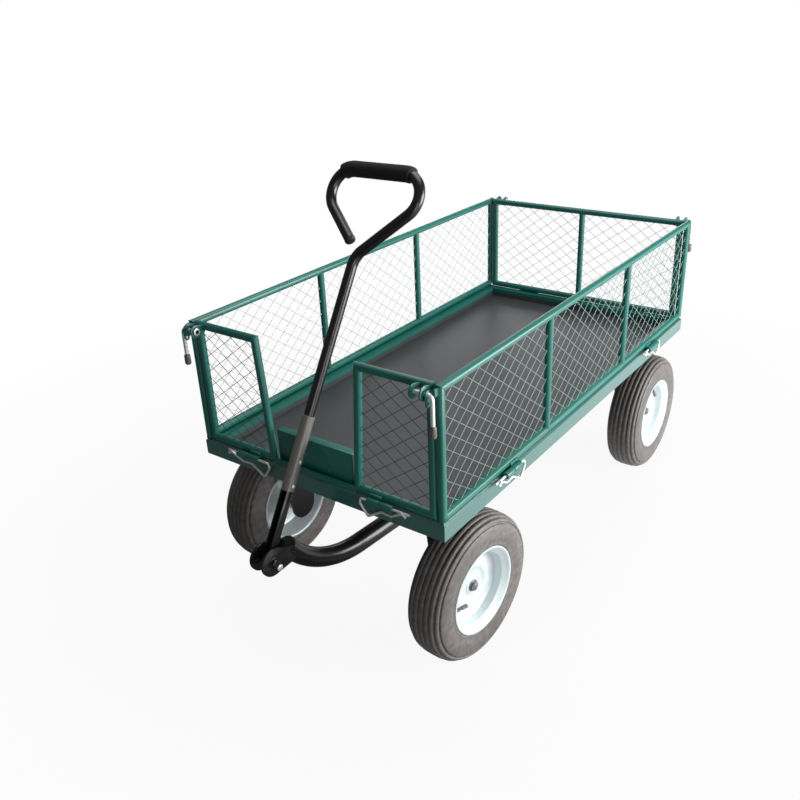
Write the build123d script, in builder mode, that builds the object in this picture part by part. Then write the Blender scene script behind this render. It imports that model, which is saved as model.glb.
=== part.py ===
from build123d import *
from math import cos, radians, sin, sqrt, tan
import os

os.makedirs("parts", exist_ok=True)

# Frame: X across the trolley, Y along it with the handle at -Y, Z up from the ground. Millimetres.

# Bed
bed_width = 610.0
bed_length = 1186.0
bed_top = 384.0
bed_face = 33.0
bed_flange = 30.0
bed_wall = 2.5
tray_y = 61.0
floor_drop = 22.0
floor_sheet = 2.0
floor_lip_drop = 1.0
member_width = 60.0
member_rib_width = 40.0
member_rib_drop = 50.0
front_y = tray_y - bed_length / 2
rear_y = tray_y + bed_length / 2

# Gates of round tube, drawn as octagons
tube = 16.0
tube_chamfer = tube / (2 + sqrt(2))
gate_gap = 1.5
gate_height = 268.5
corner_gap = 2.0
gate_bottom = bed_top + gate_gap
end_half = bed_width / 2 - tube - corner_gap
side_bays = 3
rear_bays = 2
cut_low = 99.0
cut_high = 118.0
cut_bar_height = 12.0
cut_bar_sheet = 4.0

# Wire mesh, coarser than the real one
net_sheet = 2.0
net_wire = 3.5
net_border = 3.0
net_cell_along = 72.0
net_cell_up = 57.0

# Hinges with hairpin clips
hinge_out = 7.6
knuckle_radius = 7.0
knuckle_length = 29.0
knuckle_gap = 0.3
leaf_depth = 4.6
leaf_low = 2.0
leaf_high = 12.0
clip_radius = 2.5
clip_sides = 6
small_sides = 8
clip_fit = 0.06
clip_pin_past = 43.0
clip_lead = 3.0
clip_shoulder = 11.0
clip_side = 18.0
clip_shoulder_drop = 6.0
clip_side_drop = 13.0
clip_bottom_past = 1.0
clip_bottom = 35.0
clip_crest_past = 4.0
clip_crest = 14.0
clip_trough_past = 30.0
clip_trough = 15.5
clip_end_past = 54.0
clip_end = 6.2
end_hinge_inset = 118.0
side_hinge_inset = 231.0
end_hinge = end_half - end_hinge_inset
side_hinge = bed_length / 2 - side_hinge_inset

# Corner latches
rod_radius = 4.0
rod_fit = 0.1
rod_out = 18.0
rod_drop = 11.0
rod_inner_inset = 30.5
rod_outer_reach = 12.0
rod_round = 30.0
rod_bend = 10.0
rod_leg = 75.0
rod_head_radius = 7.5
rod_head = 3.0
ear_radius = 13.0
ear_sheet = 3.0
ear_root = 14.0
ear_sink = 5.0
ear_insets = (25.5, 4.5)
lug_reach = 2.5
lug_sheet = 3.0
lug_radius = 7.0
lug_end_radius = 5.5
lug_drop = 18.0
tip_radius = 6.5
tip_length = 24.0
tip_floor = 4.0
striker_inset = 6.5
striker_sheet = 3.0
striker_reach = 9.0
striker_height = 14.0
rod_rise = gate_height - rod_drop
rod_inner = end_half - rod_inner_inset
rod_outer = end_half + rod_outer_reach
ear_places = [end_half - inset for inset in ear_insets]
lug_place = end_half + lug_reach

# Sill plate under the handle
sill_half = 96.0
sill_rise = 75.0
sill_setback = 10.0
sill_depth = 18.0
sill_sheet = 2.0
sill_rivet_x = 33.0
sill_rivet_low = 20.5
sill_rivet_high = 58.5
rivet_radius = 4.0
rivet_head = 2.0
bracket_width = 20.0
bracket_sheet = 4.0

# Wheels
tyre_radius = 156.0
tyre_width = 82.0
tread_half = 31.0
shoulder_radius = 138.0
rim_radius = 92.0
rim_wall = 3.0
rim_half = 39.5
disc_near = 4.0
disc_sheet = 3.0
hub_radius = 20.0
hub_inner = 56.4
hub_outer = 10.0
axle_radius = 8.0
axle_fit = 0.08
valve_radius = 4.0
valve_length = 40.0
valve_inset = 15.6
valve_tilt = 26.0
valve_angles = {"fl": 160.0, "fr": -14.0, "rl": 40.0, "rr": 104.0}
axle_z = tyre_radius
wheel_inset = 34.2
king_inset = 155.5
rear_axle_inset = 151.5
wheel_side = bed_width / 2 - wheel_inset
king_y = front_y + king_inset
rear_axle_y = rear_y - rear_axle_inset
steer_rest = -4.6

# Axle frames
plate_inset = 65.8
plate_side = wheel_side - plate_inset
plate_sheet = 6.0
plate_half = 48.0
plate_shoulder = 50.0
plate_eye = 32.0
beam_depth = 44.0
beam_height = 45.0
beam_wall = 3.0
collar_radius = 14.0
nut_height = 7.0
washer_radius = 14.0
washer_sheet = 2.0
nut_radius = 12.0
nut_sides = 6
running_gap = 0.4
table_radius = 95.0
table_sides = 8
table_sheet = 5.0
table_gap = 0.5
table_tail = 187.0
king_radius = 8.0
king_fit = 0.08
king_nut_radius = 14.0
king_nut_height = 12.0

# Tongue and fork
tongue_radius = 21.0
tongue_rear = 185.0
tongue_bend_start = 40.0
tongue_bend_radius = 160.0
tongue_rise = 34.0
cheek_plate = 6.0
cheek_front = 117.0
cheek_under = 26.0
tube_sides = 12
fork_back = 222.0
fork_sheet = 5.0
fork_gap_half = 14.0
fork_back_half = 24.0
fork_eye = 29.0
pivot_ahead = 280.0
pivot_drop = 126.0
pivot_radius = 6.0
pivot_fit = 0.06
pivot_head = 7.0
pivot_head_radius = 10.0
stop_back = 11.0
stop_down = 17.0
stop_radius = 5.0
stop_past = 4.0

# Handle, measured along the stem from the pivot
handle_lean = 29.2
channel_width = 18.0
channel_half_depth = 8.5
channel_wall = 2.5
channel_web = 2.0
channel_top = 139.0
handle_radius = 10.5
sleeve_radius = 12.5
sleeve_top = 288.0
loop_low = 601.0
loop_high = 770.0
loop_half = 178.0
loop_left = 180.0
loop_end = 631.0
loop_end_left = 24.0
loop_bend = 43.0
left_bend = 45.0
stem_bend = 45.0
grip_radius = 15.5
grip_half = 68.0
cap_length = 6.0
screw_radius = 3.5
screw_head = 1.6
screw_places = (150.0, 198.0)

up = Vector(0, 0, 1)


def save(part, label):
    """Names a sub-part and writes its file."""
    part.label = label
    export_step(part, f"parts/{label}.step")


def crosswise(origin, outward):
    """A plane whose x points outward and whose y points up."""
    return Plane(origin=origin, x_dir=outward, z_dir=outward.cross(up))


class Carriage:
    """Directions of an axle frame: its middle on the ground, its left-to-right and its forward way."""

    def __init__(self, y, turn):
        self.middle = Vector(0, y, 0)
        self.across = Vector(cos(radians(turn)), sin(radians(turn)), 0)
        self.ahead = Vector(sin(radians(turn)), -cos(radians(turn)), 0)

    def point(self, side, ahead, height):
        return self.middle + self.across * side + self.ahead * ahead + up * height

    def level(self, height):
        """A level plane with x across and y ahead-to-rear."""
        return Plane(origin=self.point(0, 0, height), x_dir=self.across, z_dir=up)

    def upright(self, side, height):
        """A plane along the trolley with x ahead and y up, facing away from the right-hand side."""
        return Plane(origin=self.point(side, 0, height), x_dir=self.ahead, z_dir=self.across * -1)

    def facing(self, ahead, height):
        """A plane across the trolley that faces ahead, with y up."""
        origin = self.point(0, ahead, height)
        return Plane(origin=origin, x_dir=up.cross(self.ahead), z_dir=self.ahead)


front = Carriage(king_y, steer_rest)
rear = Carriage(rear_axle_y, 0.0)

# Planes on the inner face of each gate, x along it, y up from its foot, normal outward
gate_planes = {
    "front": Plane(origin=(0, front_y + tube, gate_bottom), x_dir=(1, 0, 0), z_dir=(0, -1, 0)),
    "rear": Plane(origin=(0, rear_y - tube, gate_bottom), x_dir=(-1, 0, 0), z_dir=(0, 1, 0)),
    "right": Plane(origin=(bed_width / 2 - tube, tray_y, gate_bottom), x_dir=(0, 1, 0), z_dir=(1, 0, 0)),
    "left": Plane(origin=(tube - bed_width / 2, tray_y, gate_bottom), x_dir=(0, -1, 0), z_dir=(-1, 0, 0)),
}
hinge_places = {"front": end_hinge, "rear": end_hinge, "right": side_hinge, "left": side_hinge}


# Bed frame: channel rails welded in a ring, open to the inside
with BuildPart() as bed_rails:
    with BuildSketch(Plane((0, tray_y, bed_top - bed_face))):
        Rectangle(bed_width, bed_length)
        Rectangle(bed_width - 2 * bed_flange, bed_length - 2 * bed_flange, mode=Mode.SUBTRACT)
    extrude(amount=bed_face)
    with BuildSketch(Plane((0, tray_y, bed_top - bed_face + bed_wall))):
        Rectangle(bed_width - 2 * bed_wall, bed_length - 2 * bed_wall)
    extrude(amount=bed_face - 2 * bed_wall, mode=Mode.SUBTRACT)
save(bed_rails.part, "bed_rails")

# Cross-members rest on the rails' lower flanges and carry the floor
floor_under = bed_top - floor_drop - floor_sheet
member_seat = bed_top - bed_face + bed_wall
rib_bottom = bed_top - member_rib_drop
with BuildPart() as cross_members:
    for member_y in (king_y, tray_y, rear_axle_y):
        with BuildSketch(Plane((0, member_y, member_seat))):
            Rectangle(bed_width - 2 * bed_wall, member_width)
        extrude(amount=floor_under - member_seat)
        with BuildSketch(Plane((0, member_y, rib_bottom))):
            Rectangle(bed_width - 2 * bed_flange, member_rib_width)
        extrude(amount=member_seat - rib_bottom)
    with BuildSketch(Plane((0, king_y, rib_bottom))):
        Circle(king_radius)
    extrude(amount=member_seat - rib_bottom, mode=Mode.SUBTRACT)
save(cross_members.part, "cross_members")

# Floor sheet with its edges turned up against the rails
pan_width = bed_width - 2 * bed_flange
pan_length = bed_length - 2 * bed_flange
with BuildPart() as floor_pan:
    with BuildSketch(Plane((0, tray_y, floor_under))):
        Rectangle(pan_width, pan_length)
    extrude(amount=floor_drop + floor_sheet - floor_lip_drop)
    with BuildSketch(Plane((0, tray_y, floor_under + floor_sheet))):
        Rectangle(pan_width - 2 * floor_sheet, pan_length - 2 * floor_sheet)
    extrude(amount=floor_drop, mode=Mode.SUBTRACT)
save(floor_pan.part, "floor_pan")

# Sill plate: a sheet turned back at its foot and its top, standing on the front rail
sill_y = front_y + sill_setback
with BuildPart() as sill_plate:
    with BuildSketch(Plane.YZ):
        with Locations((sill_y, bed_top)):
            Rectangle(sill_depth, sill_rise, align=Align.MIN)
        with Locations((sill_y + sill_sheet, bed_top + sill_sheet)):
            Rectangle(sill_depth, sill_rise - 2 * sill_sheet, align=Align.MIN, mode=Mode.SUBTRACT)
    extrude(amount=sill_half, both=True)
save(sill_plate.part, "sill_plate")

with BuildPart() as sill_brackets:
    with BuildSketch(Plane.XY.offset(bed_top + sill_sheet)):
        with Locations((-sill_rivet_x, sill_y + sill_sheet), (sill_rivet_x, sill_y + sill_sheet)):
            Rectangle(bracket_width, bracket_sheet, align=(Align.CENTER, Align.MIN))
    extrude(amount=sill_rise - 2 * sill_sheet)
save(sill_brackets.part, "sill_brackets")

with BuildPart() as sill_rivets:
    with BuildSketch(Plane(origin=(0, sill_y, bed_top), x_dir=(1, 0, 0), z_dir=(0, -1, 0))):
        for rivet_side in (-sill_rivet_x, sill_rivet_x):
            with Locations((rivet_side, sill_rivet_low), (rivet_side, sill_rivet_high)):
                RegularPolygon(rivet_radius, small_sides)
    extrude(amount=rivet_head)
save(sill_rivets.part, "sill_rivets")


def hinge_plane(gate, place):
    """The plane square to a gate's hinge line, with its origin on that line."""
    plane = gate_planes[gate]
    origin = plane.from_local_coords((place, -gate_gap, tube + hinge_out))
    return crosswise(Vector(origin), plane.z_dir)


def knuckle(gate, place, end, leaf):
    """One hinge knuckle: a bored barrel with a leaf up the gate (1) or down the bed (-1).

    end is the way the knuckle runs along the gate from its place.
    """
    plane = hinge_plane(gate, place + end * knuckle_gap)
    with BuildSketch(plane) as section:
        RegularPolygon(knuckle_radius, small_sides)
        with Locations((leaf_depth / 2 - hinge_out, leaf * (leaf_low + leaf_high) / 2)):
            Rectangle(leaf_depth, leaf_high - leaf_low)
        RegularPolygon(clip_radius + clip_fit, small_sides, major_radius=False, mode=Mode.SUBTRACT)
    along = gate_planes[gate].x_dir.dot(plane.z_dir) * end
    extrude(section.sketch, amount=along * (knuckle_length - knuckle_gap))


with BuildPart() as bed_knuckles:
    for gate_name, hinge_place in hinge_places.items():
        for end_sign in (-1, 1):
            knuckle(gate_name, end_sign * hinge_place, end_sign, -1)
save(bed_knuckles.part, "bed_knuckles")


def hairpin(gate, place, end):
    """A hairpin clip whose straight leg is the hinge pin and whose bent leg comes back under the pin's tip."""
    plane = gate_planes[gate]
    pin_far = place + end * (knuckle_length + clip_pin_past)
    pin_near = place - end * (knuckle_length + clip_lead)
    clip_plane = plane.offset(tube + hinge_out)
    pin_plane = hinge_plane(gate, pin_near)
    with BuildSketch(pin_plane) as pin:
        Circle(clip_radius)
    extrude(pin.sketch, amount=plane.x_dir.dot(pin_plane.z_dir) * (pin_far - pin_near))
    corners = [
        (-knuckle_length - clip_lead, 0),
        (-knuckle_length - clip_shoulder, 0),
        (-knuckle_length - clip_side, -clip_shoulder_drop),
        (-knuckle_length - clip_side, -clip_side_drop),
        (-knuckle_length - clip_bottom_past, -clip_bottom),
        (clip_crest_past, -clip_crest),
        (clip_trough_past, -clip_trough),
        (clip_end_past, -clip_end),
    ]
    with BuildLine(clip_plane) as bent:
        Polyline([(place + end * along, rise - gate_gap) for along, rise in corners])
    with BuildSketch(pin_plane) as wire:
        RegularPolygon(clip_radius, clip_sides)
    sweep(wire.sketch, path=bent.line, transition=Transition.RIGHT)


with BuildPart() as hinge_clips:
    for gate_name, hinge_place in hinge_places.items():
        for end_sign in (-1, 1):
            hairpin(gate_name, end_sign * hinge_place, end_sign)
save(hinge_clips.part, "hinge_clips")


def bay_windows(half_length, bays):
    """The openings between a gate's uprights, as corner lists."""
    bay = (2 * half_length - tube) / bays
    windows = []
    for index in range(bays):
        left = -half_length + tube + index * bay
        right = left + bay - tube
        low = tube
        high = gate_height - tube
        windows.append([(left, low), (right, low), (right, high), (left, high)])
    return windows


def wing_window(side):
    """The opening of one front wing, whose inner upright leans out towards its top."""
    lean = (cut_high - cut_low) / gate_height
    shift = tube * sqrt(1 + lean**2)
    low = tube
    high = gate_height - tube
    inner_low = cut_low + shift + lean * low
    inner_high = cut_low + shift + lean * high
    outer = end_half - tube
    corners = [(inner_low, low), (outer, low), (outer, high), (inner_high, high)]
    return [(side * x, y) for x, y in corners]


gate_windows = {
    "front": [wing_window(-1), wing_window(1)],
    "rear": bay_windows(end_half, rear_bays),
    "right": bay_windows(bed_length / 2, side_bays),
    "left": bay_windows(bed_length / 2, side_bays),
}


def gate_outline(gate):
    """Draws a gate's outer shape: two wings at the front, a full rectangle elsewhere."""
    if gate == "front":
        for side in (-1, 1):
            corners = [(cut_low, 0), (end_half, 0), (end_half, gate_height), (cut_high, gate_height)]
            Polygon([(side * x, y) for x, y in corners], align=None)
    else:
        half_length = end_half if gate == "rear" else bed_length / 2
        Rectangle(2 * half_length, gate_height, align=(Align.CENTER, Align.MIN))


def latch_ears(gate):
    """Bored ears on the top rail that carry the latch rods."""
    plane = gate_planes[gate]
    for side in (-1, 1):
        for place in ear_places:
            root = Vector(plane.from_local_coords((side * place, 0, 0)))
            with BuildSketch(crosswise(root, plane.z_dir)) as ear:
                with Locations((tube + rod_out, rod_rise)):
                    RegularPolygon(ear_radius, small_sides)
                with Locations((tube - ear_sink / 2, rod_rise)):
                    Rectangle(ear_sink, ear_root)
                make_hull()
                with Locations((tube + rod_out, rod_rise)):
                    RegularPolygon(rod_radius + rod_fit, small_sides, major_radius=False, mode=Mode.SUBTRACT)
            extrude(ear.sketch, amount=ear_sheet / 2, both=True)


def strikers(gate):
    """Tabs at both ends of a side gate, behind the latch rods."""
    reach = bed_length / 2 + striker_reach / 2
    with BuildSketch(gate_planes[gate].offset(striker_inset)) as tabs:
        with Locations((-reach, rod_rise), (reach, rod_rise)):
            Rectangle(striker_reach, striker_height)
    extrude(tabs.sketch, amount=striker_sheet)


for gate_name, plane in gate_planes.items():
    with BuildPart() as gate_frame:
        with BuildSketch(plane):
            gate_outline(gate_name)
            for window in gate_windows[gate_name]:
                Polygon(window, align=None, mode=Mode.SUBTRACT)
        extrude(amount=tube)
        lengthwise = gate_frame.edges() - gate_frame.edges().filter_by(Axis(plane.origin, plane.z_dir))
        chamfer(lengthwise, length=tube_chamfer)
        if gate_name == "front":
            with BuildSketch(plane.offset(tube - cut_bar_sheet)):
                Rectangle(2 * cut_low + tube, cut_bar_height, align=(Align.CENTER, Align.MIN))
            extrude(amount=cut_bar_sheet)
        for end_sign in (-1, 1):
            knuckle(gate_name, end_sign * hinge_places[gate_name], -end_sign, 1)
        if gate_name in ("front", "rear"):
            latch_ears(gate_name)
        else:
            strikers(gate_name)
    save(gate_frame.part, f"gate_{gate_name}")


def net_gaps(window):
    """The diamond gaps of one window's mesh, in rows and columns that end on its corners."""
    left = min(x for x, y in window)
    right = max(x for x, y in window)
    rise = gate_height - 2 * tube
    columns = max(2, round((right - left) / net_cell_along))
    rows = round(rise / net_cell_up)
    cell_x = (right - left) / columns
    cell_y = rise / rows
    trim = net_wire * sqrt(cell_x**2 + cell_y**2) / 2
    half_x = cell_x - trim / cell_y
    half_y = cell_y - trim / cell_x
    with BuildSketch() as clear:
        Polygon(window, align=None)
        offset(amount=-net_border, kind=Kind.INTERSECTION, mode=Mode.REPLACE)
    with BuildSketch() as gaps:
        for column in range(columns + 1):
            for row in range(column % 2, rows + 1, 2):
                with Locations((left + column * cell_x, tube + row * cell_y)):
                    Polygon((half_x, 0), (0, half_y), (-half_x, 0), (0, -half_y), align=None)
        add(clear.sketch_local, mode=Mode.INTERSECT)
    return gaps.sketch_local


for gate_name, plane in gate_planes.items():
    with BuildPart() as net:
        for window in gate_windows[gate_name]:
            with BuildSketch(plane.offset((tube - net_sheet) / 2)):
                Polygon(window, align=None)
                add(net_gaps(window), mode=Mode.SUBTRACT)
            extrude(amount=net_sheet)
    save(net.part, f"mesh_{gate_name}")


# Latch rods: bent rods that turn in the ears, each with a hanging lug and a dipped tip
for gate_name in ("front", "rear"):
    plane = gate_planes[gate_name]
    rod_plane = plane.offset(tube + rod_out)
    for side in (-1, 1):
        hand = "r" if side * plane.x_dir.X > 0 else "l"
        label = gate_name[0] + hand
        start = Vector(rod_plane.from_local_coords((side * rod_inner, rod_rise, 0)))
        with BuildPart() as latch_rod:
            rod_start = Plane(origin=start, z_dir=plane.x_dir * side)
            with BuildSketch(rod_start):
                Circle(rod_radius)
            extrude(amount=rod_round)
            with BuildLine(rod_plane):
                Polyline(
                    (side * (rod_inner + rod_round), rod_rise),
                    (side * (rod_outer - rod_bend), rod_rise),
                    (side * rod_outer, rod_rise - rod_bend),
                    (side * rod_outer, rod_rise - rod_leg),
                )
            with BuildSketch(rod_start.offset(rod_round)):
                RegularPolygon(rod_radius, small_sides)
            sweep(transition=Transition.RIGHT)
            with BuildSketch(rod_start):
                RegularPolygon(rod_head_radius, small_sides)
            extrude(amount=rod_head)
            root = Vector(plane.from_local_coords((side * lug_place, 0, 0)))
            with BuildSketch(crosswise(root, plane.z_dir)):
                with Locations((tube + rod_out, rod_rise)):
                    RegularPolygon(lug_radius, small_sides)
                with Locations((tube + rod_out, rod_rise - lug_drop)):
                    RegularPolygon(lug_end_radius, small_sides)
                make_hull()
            extrude(amount=lug_sheet / 2, both=True)
        save(latch_rod.part, f"latch_rod_{label}")
        foot = Vector(rod_plane.from_local_coords((side * rod_outer, rod_rise - rod_leg, 0)))
        with BuildPart() as latch_tip:
            with BuildSketch(Plane(foot - up * tip_floor)):
                RegularPolygon(tip_radius, small_sides)
            extrude(amount=tip_length)
            with BuildSketch(Plane(foot)):
                RegularPolygon(rod_radius + rod_fit, small_sides, major_radius=False)
            extrude(amount=tip_length, mode=Mode.SUBTRACT)
        save(latch_tip.part, f"latch_tip_{label}")


def tyre_section():
    """Half section of the tyre: x outward from its middle, y the radius."""
    half = tyre_width / 2
    return [
        (-half, rim_radius),
        (half, rim_radius),
        (half, shoulder_radius),
        (tread_half, tyre_radius),
        (-tread_half, tyre_radius),
        (-half, shoulder_radius),
    ]


def rim_section():
    """Half section of the pressed rim with its hub: x outward from its middle, y the radius."""
    bore = axle_radius + axle_fit
    barrel = rim_radius - rim_wall
    return [
        (-hub_inner, bore),
        (hub_outer, bore),
        (hub_outer, hub_radius),
        (disc_near + disc_sheet, hub_radius),
        (disc_near + disc_sheet, barrel),
        (rim_half, barrel),
        (rim_half, rim_radius),
        (-rim_half, rim_radius),
        (-rim_half, barrel),
        (disc_near, barrel),
        (disc_near, hub_radius),
        (-hub_inner, hub_radius),
    ]


def wheel(carriage, side, label):
    """One wheel: its tyre, its rim with hub, and its valve."""
    outward = carriage.across * side
    centre = carriage.point(side * wheel_side, 0, axle_z)
    section_plane = crosswise(centre, outward)
    spin = Axis(centre, outward)
    with BuildPart() as tyre:
        with BuildSketch(section_plane):
            Polygon(tyre_section(), align=None)
        revolve(axis=spin)
    save(tyre.part, f"tyre_{label}")
    with BuildPart() as rim:
        with BuildSketch(section_plane):
            Polygon(rim_section(), align=None)
        revolve(axis=spin)
    save(rim.part, f"rim_{label}")
    angle = radians(valve_angles[label])
    inward = carriage.ahead * -cos(angle) - up * sin(angle)
    valve_root = centre + outward * valve_inset - inward * (rim_radius - rim_wall / 2)
    valve_way = inward * cos(radians(valve_tilt)) + outward * sin(radians(valve_tilt))
    with BuildPart() as valve:
        with BuildSketch(Plane(origin=valve_root, z_dir=valve_way)):
            RegularPolygon(valve_radius, small_sides)
        extrude(amount=valve_length)
        add(rim.part, mode=Mode.SUBTRACT)
        add(tyre.part, mode=Mode.SUBTRACT)
    save(valve.part, f"valve_{label}")


for carriage, ends in ((front, "f"), (rear, "r")):
    for side, hand in ((-1, "l"), (1, "r")):
        wheel(carriage, side, ends + hand)


def axle_frame(carriage, label, beam_top):
    """A square beam under the bed, with a drop plate and a stub axle at each end."""
    with BuildPart() as beam:
        with BuildSketch(carriage.upright(0, beam_top - beam_height / 2)):
            Rectangle(beam_depth, beam_height)
            Rectangle(beam_depth - 2 * beam_wall, beam_height - 2 * beam_wall, mode=Mode.SUBTRACT)
        extrude(amount=plate_side, both=True)
        if carriage is front:
            with BuildSketch(carriage.level(beam_top)):
                Circle(king_radius + king_fit)
            extrude(amount=-beam_height, mode=Mode.SUBTRACT)
    save(beam.part, f"{label}_beam")
    with BuildPart() as plates:
        for side in (-plate_side - plate_sheet, plate_side):
            with BuildSketch(carriage.upright(side, 0)):
                with Locations((0, beam_top - plate_shoulder / 2)):
                    Rectangle(2 * plate_half, plate_shoulder)
                with Locations((0, axle_z)):
                    Circle(plate_eye)
                make_hull()
            extrude(amount=-plate_sheet)
    save(plates.part, f"{label}_drop_plates")
    washer_seat = wheel_side + hub_outer + running_gap
    plate_face = plate_side + plate_sheet
    with BuildPart() as stubs:
        for side in (-1, 1):
            root = carriage.point(side * plate_face, 0, axle_z)
            root_plane = Plane(origin=root, z_dir=carriage.across * side)
            with BuildSketch(root_plane):
                Circle(axle_radius)
            extrude(amount=washer_seat - plate_face)
            with BuildSketch(root_plane):
                RegularPolygon(collar_radius, small_sides)
            extrude(amount=wheel_side - hub_inner - running_gap - plate_face)
    save(stubs.part, f"{label}_stubs")
    with BuildPart() as nuts:
        for side in (-1, 1):
            seat = carriage.point(side * washer_seat, 0, axle_z)
            seat_plane = Plane(origin=seat, z_dir=carriage.across * side)
            with BuildSketch(seat_plane):
                RegularPolygon(washer_radius, small_sides)
            extrude(amount=washer_sheet)
            with BuildSketch(seat_plane.offset(washer_sheet)):
                RegularPolygon(nut_radius, nut_sides)
            extrude(amount=nut_height)
    save(nuts.part, f"{label}_nuts")


table_top = rib_bottom - table_sheet
front_beam_top = table_top - table_gap - table_sheet
axle_frame(front, "front", front_beam_top)
axle_frame(rear, "rear", rib_bottom)

# Turntable: a plate under the bed, a plate on the front beam, and the king pin that joins them
with BuildPart() as table_upper:
    with BuildSketch(Plane((0, king_y, table_top))):
        RegularPolygon(table_radius, table_sides)
        Circle(king_radius, mode=Mode.SUBTRACT)
    extrude(amount=table_sheet)
save(table_upper.part, "table_upper")

with BuildPart() as table_lower:
    with BuildSketch(front.level(front_beam_top)):
        RegularPolygon(table_radius, table_sides)
        with Locations((0, table_tail - cheek_front / 2)):
            Rectangle(2 * (tongue_radius + cheek_plate), cheek_front)
        make_hull()
        Circle(king_radius + king_fit, mode=Mode.SUBTRACT)
    extrude(amount=table_sheet)
save(table_lower.part, "table_lower")

king_foot = front_beam_top - beam_height - running_gap
with BuildPart() as king_pin:
    with BuildSketch(Plane((0, king_y, king_foot - king_nut_height))):
        RegularPolygon(king_nut_radius, nut_sides)
    extrude(amount=king_nut_height)
    with BuildSketch(Plane((0, king_y, king_foot))):
        Circle(king_radius)
    extrude(amount=member_seat - king_foot)
save(king_pin.part, "king_pin")

# Tongue: a bent tube from under the turntable, welded to a fork of two round-nosed cheeks
bend_corner = tongue_bend_start + tongue_bend_radius * tan(radians(tongue_rise / 2))
tongue_end = fork_back + tongue_radius
tongue_end_rise = (tongue_end - bend_corner) * tan(radians(tongue_rise))
tongue_face_z = axle_z + (fork_back - bend_corner) * tan(radians(tongue_rise))
pivot_z = bed_top - pivot_drop
stop_ahead = pivot_ahead - stop_back
stop_z = pivot_z - stop_down
with BuildPart() as tongue:
    with BuildLine(front.upright(0, axle_z)):
        FilletPolyline(
            (-tongue_rear, 0),
            (bend_corner, 0),
            (tongue_end, tongue_end_rise),
            radius=tongue_bend_radius,
        )
    with BuildSketch(front.facing(-tongue_rear, axle_z)):
        RegularPolygon(tongue_radius, tube_sides, major_radius=False, rotation=180 / tube_sides)
    sweep()
    with BuildSketch(front.facing(fork_back, tongue_face_z)):
        Rectangle(4 * tongue_radius, 4 * tongue_radius)
    extrude(amount=2 * tongue_radius, mode=Mode.SUBTRACT)
    with BuildSketch(front.facing(fork_back, tongue_face_z)):
        Rectangle(2 * (fork_gap_half + fork_sheet), 2 * fork_back_half)
    extrude(amount=fork_sheet)
    for side in (fork_gap_half + fork_sheet, -fork_gap_half):
        with BuildSketch(front.upright(side, 0)):
            with Locations((pivot_ahead, pivot_z)):
                Circle(fork_eye)
            with Locations((fork_back + fork_sheet / 2, tongue_face_z)):
                Rectangle(fork_sheet, 2 * fork_back_half)
            make_hull()
            with Locations((pivot_ahead, pivot_z)):
                Circle(pivot_radius, mode=Mode.SUBTRACT)
            with Locations((stop_ahead, stop_z)):
                RegularPolygon(stop_radius, small_sides, mode=Mode.SUBTRACT)
        extrude(amount=fork_sheet)
save(tongue.part, "tongue")

cheek_length = tongue_rear - cheek_front
cheek_rise = front_beam_top - axle_z + cheek_under
with BuildPart() as tongue_cheeks:
    for side in (tongue_radius + cheek_plate, -tongue_radius):
        with BuildSketch(front.upright(side, axle_z - cheek_under)):
            with Locations((-tongue_rear, 0)):
                Rectangle(cheek_length, cheek_rise, align=Align.MIN)
        extrude(amount=cheek_plate)
save(tongue_cheeks.part, "tongue_cheeks")

fork_face = fork_gap_half + fork_sheet
with BuildPart() as pivot_bolt:
    with BuildSketch(front.upright(0, 0)):
        with Locations((pivot_ahead, pivot_z)):
            Circle(pivot_radius)
    extrude(amount=fork_face, both=True)
    for side in (-1, 1):
        with BuildSketch(front.upright(side * fork_face, 0)):
            with Locations((pivot_ahead, pivot_z)):
                RegularPolygon(pivot_head_radius, nut_sides)
        extrude(amount=-side * pivot_head)
save(pivot_bolt.part, "pivot_bolt")

with BuildPart() as stop_pin:
    with BuildSketch(front.upright(0, 0)):
        with Locations((stop_ahead, stop_z)):
            RegularPolygon(stop_radius, small_sides)
    extrude(amount=fork_face + stop_past, both=True)
save(stop_pin.part, "stop_pin")

# Handle: directions along its stem and out of its front
lean = radians(handle_lean)
stem = front.ahead * -sin(lean) + up * cos(lean)
handle_front = front.ahead * cos(lean) + up * sin(lean)
pivot = front.point(0, pivot_ahead, pivot_z)
handle_flat = Plane(origin=pivot, x_dir=front.across, z_dir=front.across.cross(stem))
handle_side = Plane(origin=pivot, x_dir=stem, z_dir=stem.cross(handle_front))


def stem_plane(along):
    return Plane(origin=pivot + stem * along, x_dir=front.across, z_dir=stem)


with BuildPart() as handle_channel:
    with BuildSketch(handle_side):
        Circle(channel_half_depth)
        Rectangle(channel_top, 2 * channel_half_depth, align=(Align.MIN, Align.CENTER))
        Circle(pivot_radius + pivot_fit, mode=Mode.SUBTRACT)
    extrude(amount=channel_width / 2, both=True)
    with BuildSketch(handle_side):
        with Locations((-channel_half_depth, channel_web - channel_half_depth)):
            Rectangle(channel_top + channel_half_depth - channel_wall, 2 * channel_half_depth, align=Align.MIN)
    extrude(amount=channel_width / 2 - channel_wall, both=True, mode=Mode.SUBTRACT)
save(handle_channel.part, "handle_channel")

with BuildPart() as handle_sleeve:
    with BuildSketch(stem_plane(channel_top)):
        Circle(sleeve_radius)
        Circle(handle_radius, mode=Mode.SUBTRACT)
    extrude(amount=sleeve_top - channel_top)
save(handle_sleeve.part, "handle_sleeve")

with BuildPart() as handle_screws:
    for screw_place in screw_places:
        screw_root = pivot + stem * screw_place + front.across * sleeve_radius
        with BuildSketch(Plane(origin=screw_root, z_dir=front.across)):
            RegularPolygon(screw_radius, nut_sides)
        extrude(amount=screw_head)
save(handle_screws.part, "handle_screws")

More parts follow.
